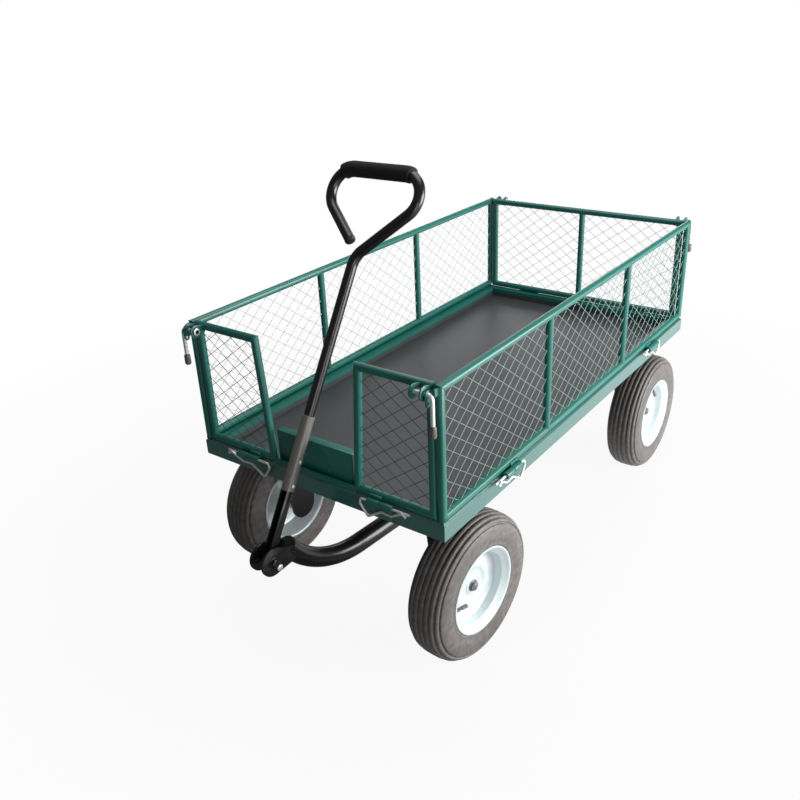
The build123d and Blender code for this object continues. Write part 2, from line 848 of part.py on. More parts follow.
# The handle's tube is bent into an open loop whose free end stops short of the stem
with BuildPart() as handle_tube:
    with BuildLine(handle_flat):
        FilletPolyline(
            (0, channel_top),
            (0, loop_low),
            (loop_half, loop_high),
            (-loop_left, loop_high),
            (-loop_end_left, loop_end),
            radius=[stem_bend, loop_bend, left_bend],
        )
    with BuildSketch(stem_plane(channel_top)):
        RegularPolygon(handle_radius, tube_sides)
    sweep()
save(handle_tube.part, "handle_tube")

end_way = (front.across * (loop_left - loop_end_left) - stem * (loop_high - loop_end)).normalized()
end_point = pivot - front.across * loop_end_left + stem * loop_end
with BuildPart() as handle_cap:
    with BuildSketch(Plane(origin=end_point, z_dir=end_way)):
        RegularPolygon(handle_radius, tube_sides)
    extrude(amount=cap_length)
save(handle_cap.part, "handle_cap")

# Foam grip on the loop's top bar
grip_start = pivot + stem * loop_high - front.across * grip_half
with BuildPart() as grip:
    with BuildSketch(Plane(origin=grip_start, z_dir=front.across)):
        Circle(grip_radius)
        Circle(handle_radius, mode=Mode.SUBTRACT)
    extrude(amount=2 * grip_half)
save(grip.part, "grip")
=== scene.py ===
# %% [markdown]
# # A garden trolley with mesh sides
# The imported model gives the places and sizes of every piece, in metres. This lesson dresses it: each step
# makes one kind of piece or one finish, lets it ride on the body that carries it, and hides the plain solid
# under it.

# %% Load the frame
from math import ceil, copysign, cos, floor, pi, radians, sin, sqrt, tan

import bmesh
import bpy
from mathutils import Matrix, Vector
from mathutils.geometry import tessellate_polygon


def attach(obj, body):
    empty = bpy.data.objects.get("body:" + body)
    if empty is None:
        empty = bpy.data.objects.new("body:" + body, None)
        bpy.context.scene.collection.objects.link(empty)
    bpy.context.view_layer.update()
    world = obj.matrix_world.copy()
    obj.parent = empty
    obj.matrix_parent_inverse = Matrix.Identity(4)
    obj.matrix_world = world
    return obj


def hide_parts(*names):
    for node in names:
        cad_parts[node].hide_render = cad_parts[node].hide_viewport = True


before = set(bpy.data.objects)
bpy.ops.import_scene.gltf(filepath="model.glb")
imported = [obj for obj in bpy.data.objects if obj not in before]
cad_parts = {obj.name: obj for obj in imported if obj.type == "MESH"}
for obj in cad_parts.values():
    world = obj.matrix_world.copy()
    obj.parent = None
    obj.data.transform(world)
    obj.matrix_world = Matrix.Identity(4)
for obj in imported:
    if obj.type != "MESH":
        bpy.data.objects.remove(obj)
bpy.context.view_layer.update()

# %% [markdown]
# ## The camera
# The camera comes first, so that every later step can be looked at from the photograph's side. It could be
# aimed at a target, but the photograph was taken with a slightly tilted camera, so its three directions are
# written out: it is turned round the trolley, raised above it and rolled a little.

# %% Camera at the photograph's angle


def placed(name, data):
    """Puts a new object with this data into the scene."""
    made = bpy.data.objects.new(name, data)
    bpy.context.scene.collection.objects.link(made)
    return made


camera_turn = radians(37.11)
camera_rise = radians(26.01)
camera_roll = radians(-2.62)
camera_spot = Vector((1.0016, -1.5647, 1.2401))
view_right = Vector((cos(camera_turn), sin(camera_turn), 0))
view_back = Vector((
    sin(camera_turn) * cos(camera_rise),
    -cos(camera_turn) * cos(camera_rise),
    sin(camera_rise),
))
view_up = view_back.cross(view_right)
rolled_right = view_right * cos(camera_roll) + view_up * sin(camera_roll)
rolled_up = view_up * cos(camera_roll) - view_right * sin(camera_roll)
camera_data = bpy.data.cameras.new("studio_camera")
camera_data.sensor_width = 36.0
camera_data.lens = 38.346
camera = placed("studio_camera", camera_data)
camera_axes = Matrix((rolled_right, rolled_up, view_back)).transposed()
camera.matrix_world = Matrix.LocRotScale(camera_spot, camera_axes, None)
bpy.context.scene.camera = camera
print("camera at", tuple(round(v, 3) for v in camera.location))

# %% [markdown]
# ## Places to measure from
# A gate, the front axle and the handle each have their own directions, and a maker measures along those and
# not along the room's. A small class keeps a corner with three directions, so that a point can be given as
# right, up and out.

# %% Places of the gates, axles and handle
UP = Vector((0, 0, 1))


class Place:
    """A corner to measure from: r runs right, u up, f out towards the one who looks at it."""

    def __init__(self, corner, right, up=UP):
        self.corner = Vector(corner)
        self.right = Vector(right).normalized()
        self.up = Vector(up).normalized()
        self.out = self.right.cross(self.up)

    def at(self, r, u, f=0.0):
        return self.corner + self.right * r + self.up * u + self.out * f


bed_width, bed_length, bed_top, bed_face = 0.610, 1.186, 0.384, 0.033
tray_y = 0.061
tube, gate_gap, gate_rise = 0.016, 0.0015, 0.2685
gate_foot = bed_top + gate_gap
end_half = 0.287
front_y, rear_y = tray_y - bed_length / 2, tray_y + bed_length / 2
king_ahead, rear_axle_back = 0.4375, 0.4415
axle_z, wheel_side = 0.156, 0.2708
pivot_rise, pivot_ahead = 0.258, 0.280

gates = {
    "front": Place((0, front_y + tube, gate_foot), (1, 0, 0)),
    "rear": Place((0, rear_y - tube, gate_foot), (-1, 0, 0)),
    "right": Place((bed_width / 2 - tube, tray_y, gate_foot), (0, 1, 0)),
    "left": Place((tube - bed_width / 2, tray_y, gate_foot), (0, -1, 0)),
}
steer = radians(-4.6)
front_axle = Place((0, tray_y - king_ahead, 0), (cos(steer), sin(steer), 0))
rear_axle = Place((0, tray_y + rear_axle_back, 0), (1, 0, 0))
pivot = front_axle.at(0, pivot_rise, pivot_ahead)
handle_lean = radians(29.2)
stem = UP * cos(handle_lean) - front_axle.out * sin(handle_lean)
handle = Place(pivot, front_axle.right, stem)
print("handle pivot at", tuple(round(v, 3) for v in pivot))

# %% [markdown]
# ## Making nodes in code
# Finishes and repeated details are built from nodes. In the editor they are clicked together, and in a
# script each node, value and link is a line. Three helpers keep those lines short: one names a tree's
# inputs and outputs, one adds a node with its settings, and one joins a list of sockets.

# %% Helpers for node trees


def socket(tree, name, kind, value=None, way="INPUT"):
    """Gives a tree a named input or output."""
    made = tree.interface.new_socket(name, in_out=way, socket_type="NodeSocket" + kind)
    if value is not None:
        made.default_value = value


def node(tree, kind, values=None, **settings):
    """Adds a node. Settings come first, because they decide which inputs it has, and values fill those."""
    made = tree.nodes.new(kind)
    for key, value in settings.items():
        setattr(made, key, value)
    for key, value in (values or {}).items():
        made.inputs[key].default_value = value
    return made


def join(tree, *links):
    """Joins nodes. Each link is a node, its output, the next node and that one's input."""
    for source, output, target, entry in links:
        tree.links.new(source.outputs[output], target.inputs[entry])


print("node helpers ready")

# %% [markdown]
# ## Painted skin
# No real surface has one even colour. Paint is faintly cloudy and has a fine orange-peel skin, and plastic,
# rubber and plated steel are uneven in the same way. An image could show that, but it would need a flat map
# of every piece. A node group of noise on Object coordinates needs none, and each finish gives it its own
# sizes.

# %% Node group: cloudy colour with a fine peel


def skin_group():
    """Cloudy colour, uneven roughness and a fine peel for painted and moulded skins."""
    group = bpy.data.node_groups.new("painted skin", "ShaderNodeTree")
    for name, value in (("Cloud Scale", 9.0), ("Peel Scale", 900.0), ("Peel Depth", 0.2)):
        socket(group, name, "Float", value)
    for name, shade in (("Dark", 0.1), ("Light", 0.2)):
        socket(group, name, "Color", (shade, shade, shade, 1))
    for name, value in (("Smooth", 0.3), ("Dull", 0.5)):
        socket(group, name, "Float", value)
    for name, kind in (("Color", "Color"), ("Roughness", "Float"), ("Normal", "Vector")):
        socket(group, name, kind, way="OUTPUT")
    inputs, outputs = node(group, "NodeGroupInput"), node(group, "NodeGroupOutput")
    where = node(group, "ShaderNodeTexCoord")
    clouds = node(group, "ShaderNodeTexNoise", {"Detail": 5.0})
    peel = node(group, "ShaderNodeTexNoise", {"Detail": 2.0})
    # A Mix node has sockets for every kind of value: 2 and 3 are its numbers, 6 and 7 its colours.
    colour = node(group, "ShaderNodeMix", data_type="RGBA")
    rough = node(group, "ShaderNodeMix")
    bump = node(group, "ShaderNodeBump", {"Distance": 0.0004})
    join(
        group,
        (where, "Object", clouds, "Vector"),
        (where, "Object", peel, "Vector"),
        (inputs, "Cloud Scale", clouds, "Scale"),
        (inputs, "Peel Scale", peel, "Scale"),
        (clouds, "Fac", colour, 0),
        (inputs, "Dark", colour, 6),
        (inputs, "Light", colour, 7),
        (clouds, "Fac", rough, 0),
        (inputs, "Smooth", rough, 2),
        (inputs, "Dull", rough, 3),
        (inputs, "Peel Depth", bump, "Strength"),
        (peel, "Fac", bump, "Height"),
        (colour, 2, outputs, "Color"),
        (rough, 0, outputs, "Roughness"),
        (bump, "Normal", outputs, "Normal"),
    )
    return group


skin_effect = skin_group()
print("effect:", skin_effect.name)

# %% [markdown]
# ## Dust and scuffs
# Tyres and the floor gather dust in patches that break up into specks. It could be painted on by hand. Two
# noises that are multiplied give such a mask on any piece, so a second group makes it, and a finish mixes
# in its own colour of dust by that mask.

# %% Node group: a mask of dust


def dust_group():
    """A patchy mask of dust and scuffs."""
    group = bpy.data.node_groups.new("dust and scuffs", "ShaderNodeTree")
    for name, value in (("Patch Scale", 14.0), ("Speck Scale", 400.0), ("Amount", 0.3)):
        socket(group, name, "Float", value)
    socket(group, "Mask", "Float", way="OUTPUT")
    inputs, outputs = node(group, "NodeGroupInput"), node(group, "NodeGroupOutput")
    where = node(group, "ShaderNodeTexCoord")
    patches = node(group, "ShaderNodeTexNoise", {"Detail": 6.0})
    specks = node(group, "ShaderNodeTexNoise", {"Detail": 3.0})
    both = node(group, "ShaderNodeMath", operation="MULTIPLY")
    spread = node(group, "ShaderNodeMapRange", {"From Min": 0.14, "From Max": 0.42})
    amount = node(group, "ShaderNodeMath", operation="MULTIPLY")
    join(
        group,
        (where, "Object", patches, "Vector"),
        (where, "Object", specks, "Vector"),
        (inputs, "Patch Scale", patches, "Scale"),
        (inputs, "Speck Scale", specks, "Scale"),
        (patches, "Fac", both, 0),
        (specks, "Fac", both, 1),
        (both, 0, spread, "Value"),
        (spread, "Result", amount, 0),
        (inputs, "Amount", amount, 1),
        (amount, 0, outputs, "Mask"),
    )
    return group


dust_effect = dust_group()
print("effect:", dust_effect.name)

# %% [markdown]
# ## How a finish is mixed
# Each finish is one Principled shader. The skin group gives its colour, roughness and normal, and dust is
# mixed over the colour where the real surface gathers it. Every piece could have a shader of its own, but
# pieces of one paint would soon drift apart, so one function makes them all from a few values.

# %% One finish from a few values


def finish(name, dark, light, smooth, dull, cloud=9.0, peel=900.0, depth=0.2, metallic=0.0, coat=0.0,
           gloss=0.5, dust=None):
    """A named material. dust is (colour, patch scale, speck scale, amount)."""
    material = bpy.data.materials.new(name)
    material.use_nodes = True
    tree = material.node_tree
    shader = tree.nodes["Principled BSDF"]
    skin_values = {
        "Cloud Scale": cloud, "Peel Scale": peel, "Peel Depth": depth, "Smooth": smooth, "Dull": dull,
        "Dark": (*dark, 1), "Light": (*light, 1),
    }
    skin = node(tree, "ShaderNodeGroup", skin_values, node_tree=skin_effect)
    coloured, colour_out = skin, "Color"
    if dust:
        dust_colour, patch, speck, amount = dust
        dust_values = {"Patch Scale": patch, "Speck Scale": speck, "Amount": amount}
        veil = node(tree, "ShaderNodeGroup", dust_values, node_tree=dust_effect)
        over = node(tree, "ShaderNodeMix", {7: (*dust_colour, 1)}, data_type="RGBA")
        join(tree, (veil, "Mask", over, 0), (skin, "Color", over, 6))
        coloured, colour_out = over, 2
    join(
        tree,
        (coloured, colour_out, shader, "Base Color"),
        (skin, "Roughness", shader, "Roughness"),
        (skin, "Normal", shader, "Normal"),
    )
    shader.inputs["Metallic"].default_value = metallic
    shader.inputs["Specular IOR Level"].default_value = gloss
    shader.inputs["Coat Weight"].default_value = coat
    shader.inputs["Coat Roughness"].default_value = 0.15
    return material


print("finish mixer ready")

# %% [markdown]
# ## The trolley's finishes
# The frame has green powder coat, smoother on the rails than on the gates. Tongue and handle are black,
# clips and latch rods bright zinc. The wires are so thin that the light decides how they look, dark in
# front and washed out at the far sides, so they have three copies of one green with that light painted in:
# painted shade on the front gate, a painted pale highlight on the left and rear gates, and on the right
# gate a green paler than the frame's, partly painted light. Colours run from a dark to a light value, never
# one only.

# %% Painted, plated, rubber and foam finishes
green_coat = finish(
    "green_powder_coat", (0.006, 0.115, 0.092), (0.009, 0.152, 0.122), 0.38, 0.48,
    cloud=6, depth=0.08, coat=0.3, gloss=0.45,
)
rail_coat = finish(
    "green_rail_coat", (0.008, 0.105, 0.088), (0.011, 0.140, 0.117), 0.26, 0.36,
    cloud=4, depth=0.08, coat=1.0, gloss=1.0,
)
# Right gate's wires: a green paler than the frame's, partly painted light.
wire_coat = finish(
    "green_wire_coat", (0.13, 0.24, 0.21), (0.18, 0.30, 0.27), 0.30, 0.42,
    cloud=20, depth=0.08, coat=0.8, gloss=0.8,
)
# Left and rear gates' wires: painted highlight, a pale copy of the wire green.
painted_highlight_wire_coat = finish(
    "painted_highlight_wire_coat", (0.40, 0.46, 0.44), (0.48, 0.54, 0.52), 0.30, 0.42,
    cloud=20, depth=0.08, coat=0.8, gloss=0.8,
)
# Front gate's wires: painted shade, a near-black copy of the wire green.
painted_shade_wire_coat = finish(
    "painted_shade_wire_coat", (0.004, 0.030, 0.025), (0.006, 0.042, 0.036), 0.34, 0.46,
    cloud=20, depth=0.08, gloss=0.4,
)
floor_coat = finish(
    "dark_floor_paint", (0.023, 0.026, 0.029), (0.031, 0.035, 0.039), 0.44, 0.52,
    cloud=3, peel=500, depth=0.3, gloss=0.8, dust=((0.17, 0.17, 0.165), 4.0, 160.0, 0.08),
)
black_coat = finish("black_powder_coat", (0.004, 0.004, 0.004), (0.008, 0.007, 0.007), 0.24, 0.34, coat=0.2)
zinc_plate = finish(
    "bright_zinc", (0.66, 0.67, 0.66), (0.84, 0.85, 0.84), 0.24, 0.40,
    cloud=60, peel=1500, metallic=0.5,
)
grey_steel = finish(
    "grey_steel", (0.16, 0.16, 0.15), (0.26, 0.26, 0.25), 0.30, 0.48,
    cloud=80, peel=1500, metallic=0.8,
)
rim_plate = finish(
    "pale_zinc_rim", (0.56, 0.64, 0.66), (0.67, 0.73, 0.74), 0.30, 0.46,
    cloud=35, peel=700, metallic=0.3, coat=0.3,
)
tyre_rubber = finish(
    "dusty_tyre_rubber", (0.070, 0.064, 0.061), (0.108, 0.099, 0.095), 0.40, 0.56,
    cloud=30, peel=1400, depth=0.4, dust=((0.30, 0.275, 0.262), 5.0, 90.0, 0.40),
)
valve_rubber = finish(
    "valve_rubber", (0.10, 0.10, 0.092), (0.16, 0.16, 0.15), 0.45, 0.6,
    cloud=90, peel=1500,
)
sleeve_coat = finish(
    "grey_sleeve", (0.125, 0.117, 0.107), (0.170, 0.160, 0.148), 0.30, 0.42,
    cloud=40, peel=1200, coat=0.3,
)
cap_plastic = finish("black_cap_plastic", (0.010, 0.010, 0.011), (0.018, 0.018, 0.019), 0.4, 0.55, cloud=50)
grip_foam = finish(
    "black_grip_foam", (0.010, 0.010, 0.010), (0.018, 0.018, 0.018), 0.6, 0.8,
    cloud=70, peel=2200, depth=0.7, gloss=0.25,
)
vinyl_dip = finish("taupe_vinyl_dip", (0.090, 0.076, 0.064), (0.135, 0.115, 0.098), 0.3, 0.45, cloud=60)
print("finishes:", len([m for m in bpy.data.materials if m.use_nodes]))

# %% [markdown]
# ## Tools for shaping
# Most pieces here are turned, bent or cut from sheet. Blender's own cylinders and cubes would have to be
# cut and moved one by one. So there is a lathe that spins a section round an axis, and a plate cut to an
# outline with holes. Both draw into one mesh.

# %% Lathe and plate


def spokes(count, start=0.0):
    """Angles that divide a full turn evenly."""
    return [start + 2 * pi * i / count for i in range(count)]


def lathe(bm, section, centre, axis, steps=48, closed=False):
    """Spins (along, radius) points round an axis. closed joins the last to the first, as in a ring."""
    axis = axis.normalized()
    side = axis.orthogonal().normalized()
    other = axis.cross(side)
    rings = []
    for along, radius in section:
        middle = centre + axis * along
        if radius == 0:
            rings.append([bm.verts.new(middle)])
            continue
        rim = [middle + (side * cos(t) + other * sin(t)) * radius for t in spokes(steps)]
        rings.append([bm.verts.new(point) for point in rim])
    pairs = list(zip(rings, rings[1:]))
    if closed:
        pairs.append((rings[-1], rings[0]))
    for a, b in pairs:
        for i in range(steps):
            j = i + 1
            corners = [a[i % len(a)], a[j % len(a)], b[j % len(b)], b[i % len(b)]]
            corners = list(dict.fromkeys(corners))
            if len(corners) > 2:
                bm.faces.new(corners)


def plate(bm, loops, spot, low, high):
    """Cuts a plate from outlines: its edge, then its holes. spot turns (x, y, z) into a point."""
    flat = [point for loop in loops for point in loop]
    feet = [bm.verts.new(spot(x, y, low)) for x, y in flat]
    tops = [bm.verts.new(spot(x, y, high)) for x, y in flat]
    first = 0
    for loop in loops:
        for i in range(len(loop)):
            a, b = first + i, first + (i + 1) % len(loop)
            bm.faces.new((feet[a], feet[b], tops[b], tops[a]))
        first += len(loop)
    if len(loops) == 1:
        bm.faces.new(feet)
        bm.faces.new(tops)
        return
    for a, b, c in tessellate_polygon([[Vector((x, y, 0)) for x, y in loop] for loop in loops]):
        bm.faces.new((feet[a], feet[b], feet[c]))
        bm.faces.new((tops[a], tops[b], tops[c]))


print("lathe and plate ready")

# %% [markdown]
# ## From drawing to piece
# A drawn mesh is not yet a piece. Real edges are never quite sharp, so a Bevel modifier softens them, and
# its result is kept as a plain mesh. Then the piece gets its finish, smooth shading that stops at corners,
# the body that it rides on, and the plain solids that it stands for. One function does this, so that no
# piece misses a step.

# %% A finished piece


def evaluated(thing):
    """A plain mesh of an object with its modifiers applied."""
    return bpy.data.meshes.new_from_object(thing.evaluated_get(bpy.context.evaluated_depsgraph_get()))


def finished(name, bm, material, body, *nodes, bevel=0.0, smooth=35.0, rounds=2):
    """Turns a drawn mesh into a piece with soft edges that rides on a body and stands for CAD nodes."""
    bmesh.ops.recalc_face_normals(bm, faces=bm.faces[:])
    mesh = bpy.data.meshes.new(name)
    bm.to_mesh(mesh)
    bm.free()
    piece = placed(name, mesh)
    if bevel:
        soft = piece.modifiers.new("soft edges", "BEVEL")
        soft.width = bevel
        soft.segments = rounds
        soft.limit_method = "ANGLE"
        soft.angle_limit = radians(40)
        soft.use_clamp_overlap = True
        made = evaluated(piece)
        piece.modifiers.remove(soft)
        piece.data = made
        made.name = name
    piece.data.materials.clear()
    piece.data.materials.append(material)
    piece.data.shade_smooth()
    piece.data.set_sharp_from_angle(angle=radians(smooth))
    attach(piece, body)
    if nodes:
        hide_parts(*nodes)
    return piece


def spun(name, section, centre, axis, material, body, *nodes, steps=48, closed=False, smooth=35.0):
    """A whole piece from the lathe."""
    bm = bmesh.new()
    lathe(bm, section, centre, axis, steps, closed)
    finished(name, bm, material, body, *nodes, smooth=smooth)


print("pieces can be finished")

# %% [markdown]
# ## Weld beads
# The frames are mitred tube, welded at each joint. A bead is a row of overlapping lumps, never two alike.
# Lumps could be set by hand, but there are thousands. Geometry Nodes set squashed lumps along bare edges,
# each turned and sized at random from a fixed seed.

# %% Geometry Nodes: a bead of weld along edges


def drawn(bm, tree, values, points, edges, thickness=None):
    """Runs a Geometry Nodes tree on bare edges and adds the mesh that it makes to a drawing."""
    bare = bpy.data.meshes.new("bare edges")
    bare.from_pydata([tuple(p) for p in points], edges, [])
    if thickness:
        bare.attributes.new("thick", "FLOAT", "POINT").data.foreach_set("value", thickness)
    carrier = placed("bare edges", bare)
    modifier = carrier.modifiers.new(tree.name, "NODES")
    modifier.node_group = tree
    identifiers = {item.name: item.identifier for item in tree.interface.items_tree}
    for name, value in values.items():
        modifier[identifiers[name]] = value
    made = evaluated(carrier)
    carrier.modifiers.remove(modifier)
    bm.from_mesh(made)
    bpy.data.objects.remove(carrier)
    bpy.data.meshes.remove(bare)
    bpy.data.meshes.remove(made)


weld_tree = bpy.data.node_groups.new("weld bead", "GeometryNodeTree")
socket(weld_tree, "Path", "Geometry")
socket(weld_tree, "Step", "Float", 0.0016)
socket(weld_tree, "Size", "Float", 0.0016)
socket(weld_tree, "Seed", "Int", 7)
socket(weld_tree, "Finish", "Material")
socket(weld_tree, "Bead", "Geometry", way="OUTPUT")
weld_in, weld_out = node(weld_tree, "NodeGroupInput"), node(weld_tree, "NodeGroupOutput")
weld_curve = node(weld_tree, "GeometryNodeMeshToCurve")
weld_points = node(weld_tree, "GeometryNodeCurveToPoints", mode="LENGTH")
lump = node(weld_tree, "GeometryNodeMeshIcoSphere", {"Subdivisions": 1})
smallest, largest, full_turn = (0.75, 0.75, 0.75), (1.25, 1.25, 1.25), (6.28, 6.28, 6.28)
lump_sizes = node(weld_tree, "FunctionNodeRandomValue", {0: smallest, 1: largest}, data_type="FLOAT_VECTOR")
lump_turns = node(weld_tree, "FunctionNodeRandomValue", {1: full_turn}, data_type="FLOAT_VECTOR")
place_lumps = node(weld_tree, "GeometryNodeInstanceOnPoints")
weld_real = node(weld_tree, "GeometryNodeRealizeInstances")
weld_finish = node(weld_tree, "GeometryNodeSetMaterial")
join(
    weld_tree,
    (weld_in, "Path", weld_curve, "Mesh"),
    (weld_curve, "Curve", weld_points, "Curve"),
    (weld_in, "Step", weld_points, "Length"),
    (weld_in, "Size", lump, "Radius"),
    (weld_in, "Seed", lump_sizes, "Seed"),
    (weld_in, "Seed", lump_turns, "Seed"),
    (weld_points, "Points", place_lumps, "Points"),
    (lump, "Mesh", place_lumps, "Instance"),
    (lump_sizes, 0, place_lumps, "Scale"),
    (lump_turns, 0, place_lumps, "Rotation"),
    (place_lumps, "Instances", weld_real, "Geometry"),
    (weld_real, "Geometry", weld_finish, "Geometry"),
    (weld_in, "Finish", weld_finish, "Material"),
    (weld_finish, "Geometry", weld_out, "Bead"),
)


def welds(bm, lines, material, size, seed=7):
    """Adds a bead of weld along each pair of points."""
    points = [p for line in lines for p in line]
    edges = [(2 * i, 2 * i + 1) for i in range(len(lines))]
    drawn(bm, weld_tree, {"Step": size, "Size": size, "Seed": seed, "Finish": material}, points, edges)


print("weld tree:", len(weld_tree.nodes), "nodes")

# %% [markdown]
# ## The bed's rails
# The bed is a ring of folded channel: a tall outer face, a slanted fold at its top, and flanges turned in
# at the top and at the foot. It could be four boxes, but the fold would be lost, so the channel's section
# is carried round the four corners.

# %% Bed rails
flange, sheet, rail_fold, rail_deeper = 0.030, 0.0025, 0.0040, 0.003
rail_foot = bed_top - bed_face - rail_deeper


def carried(bm, section):
    """Carries a section of (inset, height) points round the bed's four corners."""
    rings = []
    for sx, sy in ((-1, -1), (1, -1), (1, 1), (-1, 1)):
        spots = [(sx * (bed_width / 2 - i), tray_y + sy * (bed_length / 2 - i), z) for i, z in section]
        rings.append([bm.verts.new(spot) for spot in spots])
    for a, b in zip(rings, rings[1:] + rings[:1]):
        for k in range(len(section)):
            m = (k + 1) % len(section)
            bm.faces.new((a[k], b[k], b[m], a[m]))


rails = bmesh.new()
carried(rails, [
    (0, rail_foot), (0, bed_top - rail_fold), (rail_fold, bed_top),
    (flange, bed_top), (flange, bed_top - sheet), (sheet, bed_top - sheet),
    (sheet, rail_foot + sheet), (flange, rail_foot + sheet), (flange, rail_foot),
])
bed_piece = finished("bed_channel", rails, rail_coat, "bed", "bed_rails")
print("bed rails:", len(bed_piece.data.polygons), "faces")

# %% [markdown]
# ## The floor's edge
# The dark floor sheet turns up inside the rails, and a thin green lip covers its edge and lies over the
# flange. The corners of the bed are welded, with a bead down each. The lip could be four strips, but then
# the corners would show, so it is one more section carried round the bed.

# %% Lip and corner beads
lip_low, lip_sheet = bed_top - 0.0095, 0.0006
lip_edge, lip_face, lip_high = 0.0085, flange + 0.002, bed_top + lip_sheet
lip = bmesh.new()
carried(lip, [
    (lip_edge, lip_high), (lip_face + lip_sheet, lip_high), (lip_face + lip_sheet, lip_low),
    (lip_face, lip_low), (lip_face, bed_top), (lip_edge, bed_top),
])
finished("floor_edge_lip", lip, green_coat, "bed")
bead_inset, bead_short, corner_bead = 0.0006, 0.004, 0.0012
bead_lines = []
for sx in (-1, 1):
    for sy in (-1, 1):
        x, y = sx * bed_width / 2 - sx * bead_inset, tray_y + sy * bed_length / 2 - sy * bead_inset
        bead_lines.append(((x, y, bed_top - bead_short), (x, y, rail_foot + bead_short)))
corner_beads = bmesh.new()
welds(corner_beads, bead_lines, green_coat, corner_bead)
finished("bed_corner_beads", corner_beads, green_coat, "bed")
print("corner beads:", len(bead_lines))

# %% [markdown]
# ## Openings of the gates
# Each gate is a ring of 16 mm round tube with uprights between its rails, and wire mesh fills the openings.
# Tubes and wires have to meet, so both are measured from one drawing of the openings, seen square on. The
# front gate is two wings with slanted inner uprights. Drawing each gate apart would be longer, because
# three of them follow one rule.

# %% Windows and tube lines of the gates
side_bays, rear_bays = 3, 2
cut_low, cut_high = 0.099, 0.118
tube_radius = tube / 2
wing_lean = (cut_high - cut_low) / gate_rise
wing_stretch = sqrt(1 + wing_lean**2)


def rectangle(x0, y0, x1, y1):
    return [(x0, y0), (x1, y0), (x1, y1), (x0, y1)]


def bay_windows(half, bays):
    """Openings of a gate with upright bars, seen square on."""
    bay = (2 * half - tube) / bays
    spans = [(-half + tube + i * bay, -half + (i + 1) * bay) for i in range(bays)]
    return [rectangle(a, tube, b, gate_rise - tube) for a, b in spans]


def wing_line(side, inset):
    """The outline of a front wing, moved in by an inset."""
    edge, outer = cut_low + inset * wing_stretch, end_half - inset
    low, high = inset, gate_rise - inset
    corners = [(edge + wing_lean * low, low), (outer, low), (outer, high), (edge + wing_lean * high, high)]
    return [(side * x, y) for x, y in corners]


windows = {
    "front": [wing_line(-1, tube), wing_line(1, tube)],
    "rear": bay_windows(end_half, rear_bays),
    "right": bay_windows(bed_length / 2, side_bays),
    "left": bay_windows(bed_length / 2, side_bays),
}
halves = {"rear": end_half, "right": bed_length / 2, "left": bed_length / 2}
tube_rings = {"front": [wing_line(-1, tube_radius), wing_line(1, tube_radius)]}
uprights = {"front": []}
for gate, half in halves.items():
    reach = half - tube_radius
    tube_rings[gate] = [rectangle(-reach, tube_radius, reach, gate_rise - tube_radius)]
    uprights[gate] = [(a[1][0] + b[0][0]) / 2 for a, b in zip(windows[gate], windows[gate][1:])]
print("gate windows:", {gate: len(found) for gate, found in windows.items()})

# %% [markdown]
# ## Gate frames
# The tubes are mitred and welded. A tube swept round a sharp corner would pinch there, so the points of
# each corner are laid in the plane that halves it, and both lengths share them. A strap along the foot
# joins the front wings, and small tabs on the long gates stand where the latch rods reach them. Every seam
# gets a bead.

# %% Tubes, strap, tabs and beads
tube_sides = 28
strap_rise, strap_sheet = 0.012, 0.004
rod_rise = gate_rise - 0.011
tab_root, tab_reach, tab_half, tab_back, tab_face = 0.004, 0.009, 0.007, 0.0065, 0.0095
seam_bead = 0.0007


def mitre_seam(corners, i, out):
    """The ring of points where two lengths of tube meet at a corner."""
    before = (corners[i] - corners[i - 1]).normalized()
    after = (corners[(i + 1) % len(corners)] - corners[i]).normalized()
    one, two = out.cross(before), out.cross(after)
    mitre = (one + two) / (1 + one.dot(two))
    return [corners[i] + (mitre * cos(t) + out * sin(t)) * tube_radius for t in spokes(tube_sides)]


def saddle_seam(place, x, level, way):
    """The seam of an upright on a rail: way is 1 on a rail below it and -1 on a rail above it."""
    seam = []
    for t in spokes(tube_sides):
        depth = tube_radius * sin(t)
        rise = way * sqrt(max(0.0, tube_radius**2 - depth**2))
        seam.append(place.at(x + tube_radius * cos(t), level + rise, tube_radius + depth))
    return seam


gate_pieces = {}
for gate, place in gates.items():
    bars, seams = bmesh.new(), []
    for line in tube_rings[gate]:
        corners = [place.at(x, y, tube_radius) for x, y in line]
        ends = [mitre_seam(corners, i, place.out) for i in range(len(corners))]
        seams += ends
        loops = [[bars.verts.new(p) for p in seam] for seam in ends]
        for a, b in zip(loops, loops[1:] + loops[:1]):
            for k in range(len(a)):
                bars.faces.new((a[k - 1], a[k], b[k], b[k - 1]))
    top = gate_rise - tube_radius
    span = top - tube_radius
    bar = [(0, 0), (0, tube_radius), (span, tube_radius), (span, 0)]
    for x in uprights[gate]:
        lathe(bars, bar, place.at(x, tube_radius, tube_radius), UP, steps=tube_sides)
        seams += [saddle_seam(place, x, tube_radius, 1), saddle_seam(place, x, top, -1)]
    if gate == "front":
        strap = rectangle(-cut_low - tube_radius, 0, cut_low + tube_radius, strap_rise)
        plate(bars, [strap], place.at, tube - strap_sheet, tube)
    if gate in ("right", "left"):
        for s in (-1, 1):
            x0, x1 = sorted((s * (halves[gate] - tab_root), s * (halves[gate] + tab_reach)))
            tab = rectangle(x0, rod_rise - tab_half, x1, rod_rise + tab_half)
            plate(bars, [tab], place.at, tab_back, tab_face)
    gate_pieces[gate] = finished(f"{gate}_gate_frame", bars, green_coat, f"{gate}_gate", f"gate_{gate}")
    beads = bmesh.new()
    steps = [(seam[k - 1], seam[k]) for seam in seams for k in range(len(seam))]
    welds(beads, steps, green_coat, seam_bead, seed=11)
    finished(f"{gate}_gate_beads", beads, green_coat, f"{gate}_gate")
print("gates:", {g: len(p.data.polygons) for g, p in gate_pieces.items()})

